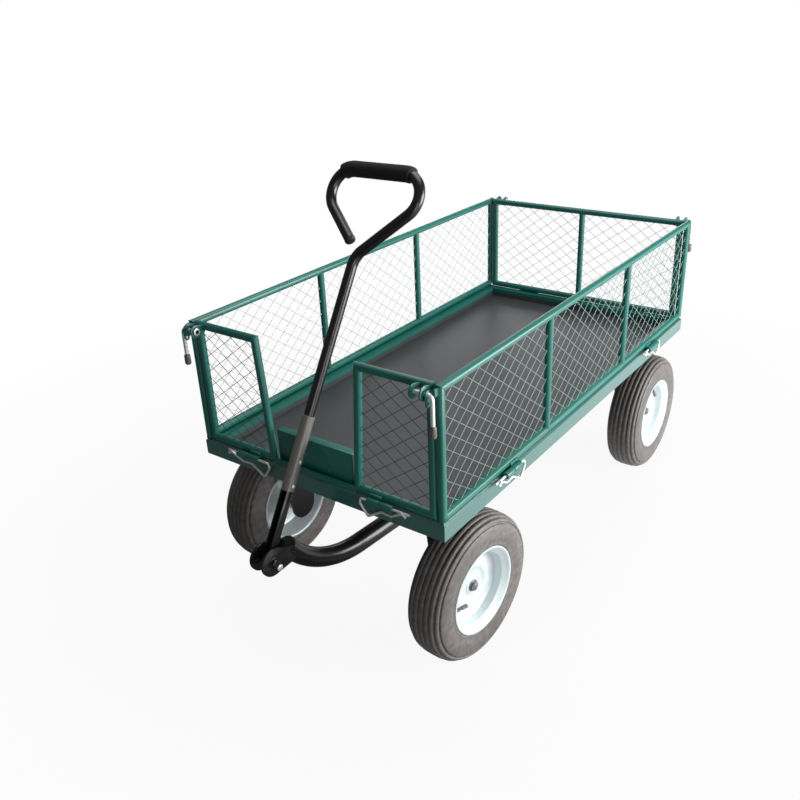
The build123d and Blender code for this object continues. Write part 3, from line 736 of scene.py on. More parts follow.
# %% [markdown]
# ## Round wire along a path
# The mesh, the hairpin clips, the latch rods, the handle and the tongue are all round bar that follows a
# path. A curve with a bevel would do for one of them. Geometry Nodes do it for all: the tree takes a mesh
# of bare edges with a thickness at each point, and puts a round skin on it.

# %% Geometry Nodes: a round skin on edges
wire_tree = bpy.data.node_groups.new("round wire", "GeometryNodeTree")
socket(wire_tree, "Path", "Geometry")
socket(wire_tree, "Sides", "Int", 12)
socket(wire_tree, "Finish", "Material")
socket(wire_tree, "Wire", "Geometry", way="OUTPUT")
wire_in, wire_out = node(wire_tree, "NodeGroupInput"), node(wire_tree, "NodeGroupOutput")
wire_curve = node(wire_tree, "GeometryNodeMeshToCurve")
thick = node(wire_tree, "GeometryNodeInputNamedAttribute", {"Name": "thick"}, data_type="FLOAT")
ring = node(wire_tree, "GeometryNodeCurvePrimitiveCircle", {"Radius": 1.0})
wire_skin = node(wire_tree, "GeometryNodeCurveToMesh", {"Fill Caps": True})
wire_real = node(wire_tree, "GeometryNodeRealizeInstances")
wire_finish = node(wire_tree, "GeometryNodeSetMaterial")
join(
    wire_tree,
    (wire_in, "Path", wire_curve, "Mesh"),
    (wire_curve, "Curve", wire_skin, "Curve"),
    (thick, 0, wire_skin, "Scale"),
    (wire_in, "Sides", ring, "Resolution"),
    (ring, "Curve", wire_skin, "Profile Curve"),
    (wire_skin, "Mesh", wire_real, "Geometry"),
    (wire_real, "Geometry", wire_finish, "Geometry"),
    (wire_in, "Finish", wire_finish, "Material"),
    (wire_finish, "Geometry", wire_out, "Wire"),
)


def wires(bm, paths, material, sides=12):
    """Adds round bar to a mesh. Each path is (points, radius) or (points, list of radii)."""
    points, edges, radii = [], [], []
    for path, radius in paths:
        first = len(points)
        points += path
        radii += radius if isinstance(radius, list) else [radius] * len(path)
        edges += [(first + i, first + i + 1) for i in range(len(path) - 1)]
    drawn(bm, wire_tree, {"Sides": sides, "Finish": material}, points, edges, radii)


print("wire tree:", len(wire_tree.nodes), "nodes")

# %% [markdown]
# ## Wire mesh
# The gates are filled with welded wire that crosses in diamonds. One family of wires lies just in front of
# the other. An image would do from afar, but not from the side, so each wire is a real bar, cut where it
# meets the frame. The front gate's wires take the painted shade finish, the left and rear gates' the
# painted highlight one.

# %% Mesh wires
diamond_wide, diamond_tall = 0.0430, 0.0318
wire_radius, wire_sink, wire_lap = 0.00058, 0.0012, 0.85
shortest_wire, beyond_all = 0.004, 9.0
crossings = {
    "front": (0.2383, 0.1853),
    "rear": (0.0, 0.130),
    "right": (-0.5495, 0.1877),
    "left": (0.5495, 0.1877),
}
# Painted shade on the front gate's wires, painted highlight on the left and rear ones, a paler green on the
# right.
net_coats = {"front": painted_shade_wire_coat, "rear": painted_highlight_wire_coat, "right": wire_coat, "left": painted_highlight_wire_coat}


def cut_line(point, way, window):
    """The stretch of a slanted line that lies inside a convex window."""
    near, far = -beyond_all, beyond_all
    edges = list(zip(window, window[1:] + window[:1]))
    turn = copysign(1.0, sum(ax * by - bx * ay for (ax, ay), (bx, by) in edges))
    for (ax, ay), (bx, by) in edges:
        nx, ny = -(by - ay) * turn, (bx - ax) * turn
        slope = nx * way[0] + ny * way[1]
        t = -(nx * (point[0] - ax) + ny * (point[1] - ay)) / slope
        if slope > 0:
            near = max(near, t)
        else:
            far = min(far, t)
    return (near, far) if far - near > shortest_wire else None


def diamond_wires(gate, window):
    """Paths of both families of wire in one window."""
    place, paths = gates[gate], []
    cross_x, cross_y = crossings[gate]
    for lean in (1, -1):
        grade = lean * diamond_tall / diamond_wide
        depth = tube_radius + lean * wire_radius * wire_lap
        base = cross_y - grade * cross_x
        offsets = [y - grade * x - base for x, y in window]
        for k in range(ceil(min(offsets) / diamond_tall), floor(max(offsets) / diamond_tall) + 1):
            level = base + k * diamond_tall
            span = cut_line((0.0, level), (1.0, grade), window)
            if span:
                ends = (span[0] - wire_sink, span[1] + wire_sink)
                paths.append(([place.at(x, level + grade * x, depth) for x in ends], wire_radius))
    return paths


wire_count = 0
for gate in gates:
    net, coat = bmesh.new(), net_coats[gate]
    runs = [run for window in windows[gate] for run in diamond_wires(gate, window)]
    wires(net, runs, coat, sides=6)
    finished(f"{gate}_wire_mesh", net, coat, f"{gate}_gate", f"mesh_{gate}", smooth=70)
    wire_count += len(runs)
print("mesh wires:", wire_count)

# %% [markdown]
# ## Hinge knuckles
# Every gate hangs on two hinges: a rolled knuckle on the bed meets one on the gate. A solid cylinder would
# show no hole where a pin is pulled out, so each knuckle is a ring from the lathe, with a real bore, and a
# flat leaf holds it. The gate's knuckles ride on the gate and turn with it.

# %% Knuckles of the bed and of the gates
hinge_out, knuckle_radius, knuckle_length, knuckle_edge, knuckle_gap = 0.0076, 0.0068, 0.029, 0.0006, 0.0005
pin_radius, pin_play = 0.0025, 0.0003
leaf_near, leaf_far, leaf_face, leaf_sink = 0.003, 0.0125, 0.0028, 0.005
knuckle_bevel = 0.0004
hinge_spots = {"front": 0.169, "rear": 0.169, "right": 0.362, "left": 0.362}
hinge_level = -gate_gap


def knuckle(bm, gate, spot, end, leaf):
    """A rolled barrel with its leaf up the gate (1) or down the bed (-1)."""
    place = gates[gate]
    start = place.at(spot + end * knuckle_gap, hinge_level, tube + hinge_out)
    bore, far_end = pin_radius + pin_play, knuckle_length - knuckle_edge
    section = [
        (0, bore), (0, knuckle_radius - knuckle_edge), (knuckle_edge, knuckle_radius),
        (far_end - knuckle_edge, knuckle_radius), (far_end, knuckle_radius - knuckle_edge), (far_end, bore),
    ]
    lathe(bm, section, start, place.right * end, steps=28, closed=True)
    leaf_low, leaf_high = sorted((hinge_level + leaf * leaf_near, hinge_level + leaf * leaf_far))
    x0, x1 = sorted((spot + end * knuckle_gap, spot + end * far_end))
    root = tube - leaf_sink if leaf > 0 else tube
    plate(bm, [rectangle(x0, leaf_low, x1, leaf_high)], place.at, root, tube + leaf_face)


bed_knuckles = bmesh.new()
for gate, spot in hinge_spots.items():
    gate_knuckles = bmesh.new()
    for s in (-1, 1):
        knuckle(bed_knuckles, gate, s * spot, s, -1)
        knuckle(gate_knuckles, gate, s * spot, -s, 1)
    finished(f"{gate}_gate_knuckles", gate_knuckles, green_coat, f"{gate}_gate", bevel=knuckle_bevel)
finished("bed_hinge_knuckles", bed_knuckles, green_coat, "bed", "bed_knuckles", bevel=knuckle_bevel)
print("knuckles on", len(hinge_spots), "gates")

# %% [markdown]
# ## Hairpin clips
# The straight leg of a hairpin clip is the pin through both knuckles of a hinge, and its other leg is waved
# so that it snaps over them from outside. A curve could be drawn by eye. Here its corners are written down
# and each is bent to a radius, as wire is bent. The tips point outwards on the end gates and forward on the
# long ones, and one clip is pulled a little way out, as in the photograph.

# %% Clips bent from wire
clip_shape = [
    (0.0665, 0.0, 0.0), (-0.0455, 0.0, 0.0), (-0.0480, -0.0115, 0.0), (-0.0300, -0.0350, 0.0),
    (0.0020, -0.0145, 0.0), (0.0260, -0.0150, 0.0012), (0.0530, 0.0018, 0.0052), (0.0620, -0.0040, 0.0052),
]
clip_bends = [0.0055, 0.0055, 0.0034, 0.0030, 0.0030, 0.0030]
clip_pulls = {("front", -1): 0.010}
clip_turns = {"right": -1, "left": 1}


def bent(corners, radius, steps=10):
    """A path with each corner bent to a radius, which is one value or a list with one per corner."""
    inner = len(corners) - 2
    bends = radius if isinstance(radius, list) else [radius] * inner
    path = [Vector(corners[0])]
    for i in range(inner):
        before, corner, after = (Vector(corners[i + k]) for k in range(3))
        a, b = (before - corner).normalized(), (after - corner).normalized()
        angle = a.angle(b)
        reach = bends[i] / tan(angle / 2)
        middle = corner + (a + b).normalized() * bends[i] / sin(angle / 2)
        start, end = corner + a * reach - middle, corner + b * reach - middle
        sweep = start.angle(end)
        for k in range(steps + 1):
            t = k / steps
            path.append(middle + (start * sin((1 - t) * sweep) + end * sin(t * sweep)) / sin(sweep))
    path.append(Vector(corners[-1]))
    return path


def hairpin(gate, spot, end):
    """The path of one clip: pin, shoulder, a leg down, and a waved leg back over the pin's tip."""
    place = gates[gate]
    pulled = clip_pulls.get((gate, end), 0.0)
    points = []
    for x, y, f in clip_shape:
        points.append(place.at(spot + end * (x - pulled), hinge_level + y, tube + hinge_out + f))
    return bent(points, clip_bends, steps=7)


clips = bmesh.new()
clip_lines = []
for gate, spot in hinge_spots.items():
    for s in (-1, 1):
        clip_lines.append((hairpin(gate, s * spot, clip_turns.get(gate, s)), pin_radius))
wires(clips, clip_lines, zinc_plate)
finished("hairpin_clips", clips, zinc_plate, "bed", "hinge_clips", smooth=60)
print("hairpin clips:", len(clip_lines))

# %% [markdown]
# ## Outlines of the latches
# At each corner a bent rod turns in two ears on the end gate and carries a small hanging lug. Ears and lug
# are plates with round noses and real holes, so the rod can be seen to pass through. Such an outline could
# be written point by point. A string pulled tight round a few circles gives it in one line, so there is one
# helper for circles and one for the string.

# %% Ears and lugs in outline
rod_radius, rod_out, rod_play = 0.004, 0.018, 0.0004
rod_line = tube + rod_out
ear_nose, ear_half, ear_sink = 0.013, 0.007, 0.005
lug_head, lug_tail, lug_drop = 0.007, 0.0055, 0.018
eye_drop, eye_radius = 0.0172, 0.0026


def circle(x, y, radius, steps=24, start=0.0):
    return [(x + radius * cos(t), y + radius * sin(t)) for t in spokes(steps, start)]


def hull(points):
    """The outline of a string pulled tight round points."""
    ordered = sorted(set(points))

    def half(run):
        chain = []
        for p in run:
            while len(chain) > 1:
                (ax, ay), (bx, by) = chain[-2], chain[-1]
                if (bx - ax) * (p[1] - ay) - (by - ay) * (p[0] - ax) > 0:
                    break
                chain.pop()
            chain.append(p)
        return chain[:-1]

    return half(ordered) + half(ordered[::-1])


ear_root = rectangle(tube - ear_sink, rod_rise - ear_half, tube, rod_rise + ear_half)
ear_shape = hull(circle(rod_line, rod_rise, ear_nose, 32) + ear_root)
ear_hole = circle(rod_line, rod_rise, rod_radius + rod_play)
lug_shape = hull(circle(rod_line, rod_rise, lug_head) + circle(rod_line, rod_rise - lug_drop, lug_tail))
lug_eye = circle(rod_line, rod_rise - eye_drop, eye_radius, 16)
print("ear outline:", len(ear_shape), "points; lug outline:", len(lug_shape))

# %% [markdown]
# ## Corner latches
# The rod has a round head at its inner end and a leg that hangs down to a dipped tip. It is bent and
# skinned like the clips, and head and tip are turned. One mesh for all four would be shorter, but each
# latch turns on its own, so each is a set of pieces on its own body, and only the ears stay with the gate.

# %% Latch ears, rods, lugs and tips
rod_inner, rod_outer, rod_leg, rod_bend = end_half - 0.0305, end_half + 0.012, 0.075, 0.010
lug_place, ear_places = end_half + 0.0025, (end_half - 0.0255, end_half - 0.0045)
latch_faces, latch_bevel = (-0.0015, 0.0015), 0.0003
head_section = [(0, 0), (0, 0.0064), (0.0008, 0.0075), (0.0022, 0.0075), (0.003, 0.0064), (0.003, 0)]
dip_past = 0.0038
dip_section = [
    (0, 0), (0.0006, 0.0038), (0.0022, 0.0058), (0.0045, 0.0064), (0.019, 0.0063), (0.0215, 0.0056),
    (0.0236, rod_radius),
]


def sideways(place, x):
    """Places a plate that stands square to a gate at x along it."""
    return lambda f, u, r: place.at(x + r, u, f)


for gate in ("front", "rear"):
    place = gates[gate]
    ears = bmesh.new()
    for s in (-1, 1):
        for x in ear_places:
            plate(ears, [ear_shape, ear_hole], sideways(place, s * x), *latch_faces)
    finished(f"{gate}_latch_ears", ears, green_coat, f"{gate}_gate", bevel=latch_bevel)
    for s in (-1, 1):
        label = gate[0] + ("r" if s * place.right.x > 0 else "l")
        body = f"latch_{label}"
        inner = place.at(s * rod_inner, rod_rise, rod_line)
        corner = place.at(s * rod_outer, rod_rise, rod_line)
        rod = bmesh.new()
        rod_path = bent([inner, corner, corner - UP * rod_leg], rod_bend)
        wires(rod, [(rod_path, rod_radius)], zinc_plate, sides=20)
        lathe(rod, head_section, inner, place.right * s, steps=28)
        finished(f"latch_rod_{label}_round", rod, zinc_plate, body, f"latch_rod_{label}", smooth=50)
        drop = bmesh.new()
        plate(drop, [lug_shape, lug_eye], sideways(place, s * lug_place), *latch_faces)
        finished(f"latch_lug_{label}", drop, green_coat, body, bevel=latch_bevel)
        tip_foot = corner - UP * (rod_leg + dip_past)
        spun(f"latch_tip_{label}_dip", dip_section, tip_foot, UP, vinyl_dip, body, f"latch_tip_{label}",
             steps=24, smooth=60)
print("latches on the front and rear gates")

# %% [markdown]
# ## Sill plate
# Under the handle, the open front is closed by a low folded plate. Its top and foot are turned back for
# stiffness, and domed rivets hold it to two straps behind. A box would have no fold, so its section is
# drawn and cut like a plate, and a bevel rounds the folds. The rivets are turned.

# %% Sill plate and rivets
sill_half, sill_rise, sill_depth, sill_sheet = 0.096, 0.075, 0.018, 0.002
sill_y = front_y + 0.010
sill_section = [
    (sill_depth, 0), (0, 0), (0, sill_rise), (sill_depth, sill_rise), (sill_depth, sill_rise - sill_sheet),
    (sill_sheet, sill_rise - sill_sheet), (sill_sheet, sill_sheet), (sill_depth, sill_sheet),
]
sill = bmesh.new()
plate(sill, [sill_section], lambda y, z, x: Vector((x, sill_y + y, bed_top + z)), -sill_half, sill_half)
finished("sill_fold", sill, green_coat, "bed", "sill_plate", bevel=0.0014, rounds=3)
rivet_dome = [(0, 0), (0, 0.0038), (0.0006, 0.0037), (0.0014, 0.0028), (0.0018, 0.0013), (0.0019, 0)]
rivet_side, rivet_rises = 0.033, (0.0205, 0.0585)
rivets = bmesh.new()
for x in (-rivet_side, rivet_side):
    for rise in rivet_rises:
        lathe(rivets, rivet_dome, Vector((x, sill_y, bed_top + rise)), Vector((0, -1, 0)), steps=20)
finished("sill_rivet_heads", rivets, green_coat, "bed", "sill_rivets", smooth=50)
print("sill plate with", 2 * len(rivet_rises), "rivets")

# %% [markdown]
# ## Tyres
# The tyres are ribbed for easy rolling: thin grooves with rounded edges run right round the tread, and the
# sidewalls bulge between the bead and the shoulder. Grooves could be cut with Booleans, but those leave
# untidy faces. So a section with all its grooves is written from a rule and spun on the lathe.

# %% Ribbed tyres
crown_low, crown_rise, crown_half, crown_power = 0.118, 0.038, 0.0413, 3.2
groove_pitch, groove_count = 0.0125, 8
rib_edge = [(0.0012, 0.0034), (0.0021, 0.0014), (0.0034, 0.0006), (0.0050, 0.0001)]
tyre_wall = [
    (0.0413, 0.1180), (0.0408, 0.1120), (0.0398, 0.1060), (0.0384, 0.1002), (0.0387, 0.0990),
    (0.0380, 0.0958), (0.0362, 0.0920), (0.0330, 0.0885),
]


def other_side(section):
    """A section seen in a mirror, run through backwards."""
    return [(-x, r) for x, r in reversed(section)]


def crown_line(count=600):
    """Points of the tread's round-shouldered curve, from one side to the other."""
    line = []
    for i in range(count + 1):
        t = pi * i / count
        across = copysign(abs(cos(t)) ** (2 / crown_power), -cos(t))
        line.append(Vector((crown_half * across, crown_low + crown_rise * sin(t) ** (2 / crown_power))))
    return line


def tyre_section():
    """(across, radius) points of the tyre, from one bead over the grooved tread to the other."""
    line = crown_line()
    runs = [0.0]
    for a, b in zip(line, line[1:]):
        runs.append(runs[-1] + (b - a).length)
    middle = runs[-1] / 2

    def at(distance, depth):
        i = min(range(1, len(runs) - 1), key=lambda k: abs(runs[k] - middle - distance))
        way = (line[i + 1] - line[i - 1]).normalized()
        return tuple(line[i] + Vector((way.y, -way.x)) * depth)

    tread = []
    for k in range(groove_count):
        c = (k - (groove_count - 1) / 2) * groove_pitch
        for side in (-1, 1):
            rib = [at(c + side * across, depth) for across, depth in rib_edge]
            tread += rib[::side]
    return other_side(tyre_wall) + tread + tyre_wall


tyre_line = tyre_section()
wheels = {"fl": (front_axle, -1), "fr": (front_axle, 1), "rl": (rear_axle, -1), "rr": (rear_axle, 1)}
for label, (axle, s) in wheels.items():
    centre, out = axle.at(s * wheel_side, axle_z), axle.right * s
    spun(f"ribbed_tyre_{label}", tyre_line, centre, out, tyre_rubber, f"wheel_{label}", f"tyre_{label}",
         steps=144, closed=True, smooth=40)
print("tyre section points:", len(tyre_line))

# %% [markdown]
# ## Rims and valves
# The rim is a pressed steel dish with a rolled lip at each edge, welded to a tube that is the hub. Pressing
# each step into a cylinder by hand would take long, so it is also spun from one section, whose inner lip is
# the outer one seen in a mirror. The valve points in towards the hub and leans out a little, and each wheel
# has stopped at another turn.

# %% Pressed rims and valve stems
rim_dish = [
    (0.0105, 0.0082), (0.0105, 0.0185), (0.0098, 0.0198), (0.0085, 0.0205), (0.0080, 0.0330),
    (0.0090, 0.0355), (0.0104, 0.0375), (0.0106, 0.0520), (0.0096, 0.0545), (0.0078, 0.0570),
    (0.0074, 0.0660), (0.0084, 0.0705), (0.0110, 0.0735), (0.0150, 0.0750), (0.0245, 0.0758),
    (0.0262, 0.0762), (0.0276, 0.0774), (0.0286, 0.0788), (0.0340, 0.0848),
]
rim_lip = [
    (0.0365, 0.0872), (0.0384, 0.0892), (0.0393, 0.0912), (0.0390, 0.0930), (0.0378, 0.0937),
    (0.0366, 0.0930), (0.0356, 0.0905), (0.0330, 0.0880), (0.0230, 0.0812),
]
rim_inside = [
    (-0.0220, 0.0785), (0.0020, 0.0775), (0.0040, 0.0735), (0.0042, 0.0210), (0.0030, 0.0200),
    (-0.0552, 0.0195), (-0.0562, 0.0185), (-0.0562, 0.0082),
]
rim_section = rim_dish + rim_lip + other_side(rim_lip) + rim_inside
valve_angles = {"fl": 160.0, "fr": -14.0, "rl": 40.0, "rr": 104.0}
valve_tilt = radians(26)
valve_out, valve_ring = 0.0156, 0.0770
valve_section = [
    (0, 0), (0, 0.0062), (0.002, 0.0060), (0.005, 0.0044), (0.016, 0.0038), (0.0165, 0.0030),
    (0.020, 0.0030), (0.0205, 0.0042), (0.033, 0.0042), (0.0342, 0.0034), (0.0342, 0),
]
for label, (axle, s) in wheels.items():
    centre, out, body = axle.at(s * wheel_side, axle_z), axle.right * s, f"wheel_{label}"
    spun(f"pressed_rim_{label}", rim_section, centre, out, rim_plate, body, f"rim_{label}",
         steps=112, closed=True, smooth=45)
    angle = radians(valve_angles[label])
    inward = -(axle.out * cos(angle) + UP * sin(angle))
    lean = inward * cos(valve_tilt) + out * sin(valve_tilt)
    seat = centre + out * valve_out - inward * valve_ring
    spun(f"valve_stem_{label}", valve_section, seat, lean, valve_rubber, body, f"valve_{label}",
         steps=24, smooth=50)
print("rims and valves:", len(wheels))

# %% [markdown]
# ## Hub nuts
# A washer and a nut close each stub axle. They stay still while the wheel spins, so they are pieces of the
# carriage and of the bed, not of the wheels. The washer and the end of the axle are turned, and the nut is
# a six-sided plate with softened edges. A cylinder with six sides would do as well, but a plate can be set
# straight onto its seat.

# %% Washers, nuts and axle ends
nut_radius, nut_turn, nut_low, nut_high = 0.0100, 0.3, 0.0018, 0.0072
nut_shape = circle(0, 0, nut_radius, 6, nut_turn)
hub_face = 0.0108
washer_section = [(0, 0), (0, 0.0122), (0.0004, 0.0128), (0.0014, 0.0128), (nut_low, 0.0122), (nut_low, 0)]
axle_end = [(0.006, 0.0066), (nut_high, 0.0066), (0.0082, 0.0064), (0.0086, 0.0056), (0.0086, 0)]


def facing(seat, side, out):
    """Places a plate that lies square to a direction, as a nut on its seat."""
    return lambda x, y, z: seat + side * x + UP * y + out * z


for label, axle, body in (("front", front_axle, "carriage"), ("rear", rear_axle, "bed")):
    nuts = bmesh.new()
    for s in (-1, 1):
        seat, out = axle.at(s * (wheel_side + hub_face), axle_z), axle.right * s
        lathe(nuts, washer_section, seat, out, steps=40)
        plate(nuts, [nut_shape], facing(seat, axle.out, out), nut_low, nut_high)
        lathe(nuts, axle_end, seat, out, steps=24)
    finished(f"{label}_hub_nuts", nuts, grey_steel, body, f"{label}_nuts", bevel=0.0005)
print("hub nuts on both axles")

# %% [markdown]
# ## Tongue and fork
# The tongue is a stout tube that runs level under the bed and bends up to the fork. The fork is two
# round-nosed cheeks with holes for a bolt and a pin, open between them. The tube is a bent path with a
# round skin, as the clips are, and the cheeks are plates cut to an outline, because a swept shape has no
# flat faces with holes.

# %% Tube and cheeks
tongue_radius, tongue_bend, tongue_back = 0.021, radians(56), 0.185
bend_radius, bend_start, bend_tail = 0.240, 0.032, 0.001
bend_corner = bend_start + bend_radius * tan(tongue_bend / 2)
tongue_end = bend_start + bend_radius * sin(tongue_bend) + bend_tail * cos(tongue_bend)
tongue_rise = axle_z + bend_radius * (1 - cos(tongue_bend)) + bend_tail * sin(tongue_bend)
fork_gap, fork_sheet, cheek_radius = 0.014, 0.005, 0.029
cheek_face = fork_gap + fork_sheet
cheek_root = rectangle(0.226, 0.236, 0.231, 0.268)
stop_ahead, stop_rise = 0.269, 0.241
tongue_corners = [(axle_z, -tongue_back), (axle_z, bend_corner), (tongue_rise, tongue_end)]
tongue_path = bent([front_axle.at(0, u, f) for u, f in tongue_corners], bend_radius, steps=24)
tongue = bmesh.new()
wires(tongue, [(tongue_path, tongue_radius)], black_coat, sides=40)
cheek = hull(circle(pivot_ahead, pivot_rise, cheek_radius, 48) + cheek_root)
bolt_hole, stop_hole = circle(pivot_ahead, pivot_rise, 0.0062), circle(stop_ahead, stop_rise, 0.0052, 20)
for s in (-1, 1):
    near, far = sorted((s * fork_gap, s * cheek_face))
    plate(tongue, [cheek, bolt_hole, stop_hole], sideways(front_axle, 0), near, far)
finished("tongue_tube_and_fork", tongue, black_coat, "carriage", "tongue", bevel=0.0008, smooth=40)
print("tongue path points:", len(tongue_path))

# %% [markdown]
# ## Pivot bolt and stop pin
# A bolt through both cheeks carries the handle, with a washer and a six-sided head or nut on each side.
# Below it, a bright pin with low heads stops the handle. Both could be set along the room's axes, but the
# photograph's wheels are steered a little, so they are turned on the carriage's own cross direction.

# %% Bolt and pin
bolt_radius, head_radius, head_turn, head_low, head_high = 0.0059, 0.0098, 0.2, 0.0015, 0.0068
bolt_head = circle(0, 0, head_radius, 6, head_turn)
shank = [(-cheek_face, 0), (-cheek_face, bolt_radius), (cheek_face, bolt_radius), (cheek_face, 0)]
bolt_washer = [(0, 0), (0, 0.0115), (0.0014, 0.0115), (0.0016, 0)]
bolt = bmesh.new()
lathe(bolt, shank, pivot, front_axle.right, steps=28)
for s in (-1, 1):
    seat, out = pivot + front_axle.right * s * cheek_face, front_axle.right * s
    lathe(bolt, bolt_washer, seat, out, steps=32)
    plate(bolt, [bolt_head], facing(seat, front_axle.out, out), head_low, head_high)
finished("handle_pivot_bolt", bolt, black_coat, "carriage", "pivot_bolt", bevel=0.0005)
stop_half, stop_neck, stop_edge = cheek_face + 0.004, cheek_face + 0.0004, 0.001
stop_head = [
    (stop_neck, 0.0050), (stop_neck, 0.0066), (stop_half - stop_edge, 0.0066), (stop_half, 0.0054),
    (stop_half, 0),
]
stop_section, stop_centre = other_side(stop_head) + stop_head, front_axle.at(0, stop_rise, stop_ahead)
spun("handle_stop_pin", stop_section, stop_centre, front_axle.right, zinc_plate, "carriage", "stop_pin",
     steps=24, smooth=45)
print("stop pin:", round(2 * stop_half, 4), "m long")

# %% [markdown]
# ## Handle stem
# A folded channel stands in the fork. A grey sleeve joins it to the round tube, and two screws hold the
# sleeve. The channel could be one bent sheet. Four plates that touch look the same and are easier to
# measure: two walls with a round foot, a web between them and a closed top.

# %% Handle channel, sleeve and screws
channel_top = 0.139
half_wide, half_deep, wall, web = 0.009, 0.0085, 0.0025, 0.002
stem_channel = bmesh.new()
wall_shape = hull(circle(0, 0, half_deep, 40) + rectangle(0, -half_deep, channel_top, half_deep))
wall_hole = circle(0, 0, 0.0064)
along = lambda s, f, r: handle.at(r, s, f)
for s in (-1, 1):
    near, far = sorted((s * (half_wide - wall), s * half_wide))
    plate(stem_channel, [wall_shape, wall_hole], along, near, far)
inside = (wall - half_wide, half_wide - wall)
web_shape = rectangle(0.0, -half_deep, channel_top, web - half_deep)
lid_shape = rectangle(channel_top - wall, web - half_deep, channel_top, half_deep)
for shape in (web_shape, lid_shape):
    plate(stem_channel, [shape], along, *inside)
finished("handle_stem_channel", stem_channel, black_coat, "handle", "handle_channel", bevel=0.0006)
sleeve_section = [
    (channel_top, 0.0106), (channel_top, 0.0118), (0.1396, 0.0125), (0.2874, 0.0125), (0.288, 0.0118),
    (0.288, 0.0106),
]
spun("grey_handle_sleeve", sleeve_section, pivot, stem, sleeve_coat, "handle", "handle_sleeve",
     closed=True, smooth=45)
screw_dome = [(0, 0), (0, 0.0036), (0.0006, 0.0035), (0.0013, 0.0026), (0.0016, 0)]
screw_seat, screw_spots = 0.0122, (0.150, 0.198)
screws = bmesh.new()
for spot in screw_spots:
    lathe(screws, screw_dome, handle.at(screw_seat, spot), handle.right, steps=18)
finished("sleeve_screw_heads", screws, zinc_plate, "handle", "handle_screws", smooth=50)
print("handle channel, sleeve and", len(screw_spots), "screws")

# %% [markdown]
# ## Handle loop and grip
# The top of the tube is bent into an open loop, whose free end stops short of the stem and has a plastic
# cap. Its bends are taken from five corners. A foam grip sits on the loop's top. A straight cylinder would
# stand off the tube at the bends, so the grip follows the tube's own path, thicker, with rounded ends.

# %% Handle tube, cap and grip
handle_radius, grip_radius = 0.0105, 0.0155
loop_high, loop_slope = 0.770, 0.008
loop_corners = [
    (0, channel_top), (0, 0.601), (0.178, loop_high), (-0.180, loop_high - loop_slope), (-0.024, 0.631),
]
loop_bends = [0.045, 0.043, 0.045]
tube_path = bent([handle.at(t, s) for t, s in loop_corners], loop_bends, steps=20)
loop_tube = bmesh.new()
wires(loop_tube, [(tube_path, handle_radius)], black_coat, sides=36)
finished("bent_handle_tube", loop_tube, black_coat, "handle", "handle_tube", smooth=50)
end_way = (tube_path[-1] - tube_path[-2]).normalized()
cap_section = [
    (-0.001, 0), (-0.001, 0.0108), (0.0025, 0.0108), (0.0046, 0.0098), (0.0058, 0.0074), (0.0062, 0),
]
spun("handle_end_cap", cap_section, tube_path[-1], end_way, cap_plastic, "handle", "handle_cap",
     steps=36, smooth=50)
grip_middle, grip_half, grip_step = handle.at(-0.003, loop_high), 0.084, 0.002
grip_round, grip_low = 0.004, handle_radius + 0.0004


def stretch(path, middle, half, step):
    """The part of a path within half a length of the point nearest to middle."""
    dense = []
    for a, b in zip(path, path[1:]):
        count = max(1, ceil((b - a).length / step))
        dense += [a.lerp(b, i / count) for i in range(count)]
    ends = []
    for way in (-1, 1):
        i, gone = min(range(len(dense)), key=lambda k: (dense[k] - middle).length), 0.0
        while gone < half:
            gone += (dense[i + way] - dense[i]).length
            i += way
        ends.append(i)
    return dense[ends[0]:ends[1] + 1]


grip_path = stretch(tube_path, grip_middle, grip_half, grip_step)
last = len(grip_path) - 1
grip_sizes = []
for i in range(last + 1):
    edge = min(i, last - i) * grip_step
    round_end = sqrt(max(0.0, 1 - max(0.0, 1 - edge / grip_round) ** 2))
    grip_sizes.append(grip_low + (grip_radius - grip_low) * round_end)
grip = bmesh.new()
wires(grip, [(grip_path, grip_sizes)], grip_foam, sides=32)
finished("foam_grip", grip, grip_foam, "handle", "grip", smooth=60)
print("handle tube:", len(tube_path), "points; grip:", len(grip_path))

# %% [markdown]
# ## Pieces that keep their solids
# Under the bed most pieces are flat plate and plain bar, and so are the floor sheet and the cross-members.
# They could be drawn again, but their solids already have the right shape. They keep it, and only take a
# finish.

# %% Finishes on the plain solids
plain = {
    green_coat: ["cross_members"],
    floor_coat: ["floor_pan"],
    black_coat: [
        "sill_brackets", "table_upper", "table_lower", "front_beam", "rear_beam", "front_drop_plates",
        "rear_drop_plates", "tongue_cheeks",
    ],
    zinc_plate: ["king_pin", "front_stubs", "rear_stubs"],
}
for material, names in plain.items():
    for name in names:
        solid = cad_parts[name]
        for slot in solid.material_slots:
            slot.material = material
print("plain solids dressed:", sum(len(names) for names in plain.values()))

# %% [markdown]
# ## Paper floor
# The photograph is a cut-out on white. The floor is a plain sheet that looks nearly white to the camera and
# still takes a soft shadow. A floor that is white for every ray would also throw light up and shine in
# every smooth face, so the Light Path node gives reflections a darker sheet, which grows pale only towards
# the lit side.

# %% Floor with its own shade for reflections


def shown_white(tree, rays):
    """The share of white that rays see: all for camera and transmission rays, a part for glossy ones."""
    part = node(tree, "ShaderNodeMath", operation="MULTIPLY")
    first = node(tree, "ShaderNodeMath", operation="MAXIMUM")
    shown = node(tree, "ShaderNodeMath", operation="MAXIMUM")
    join(
        tree,
        (rays, "Is Glossy Ray", part, 0),
        (rays, "Is Camera Ray", first, 0),
        (part, 0, first, 1),
        (first, 0, shown, 0),
        (rays, "Is Transmission Ray", shown, 1),
    )
    return shown, part


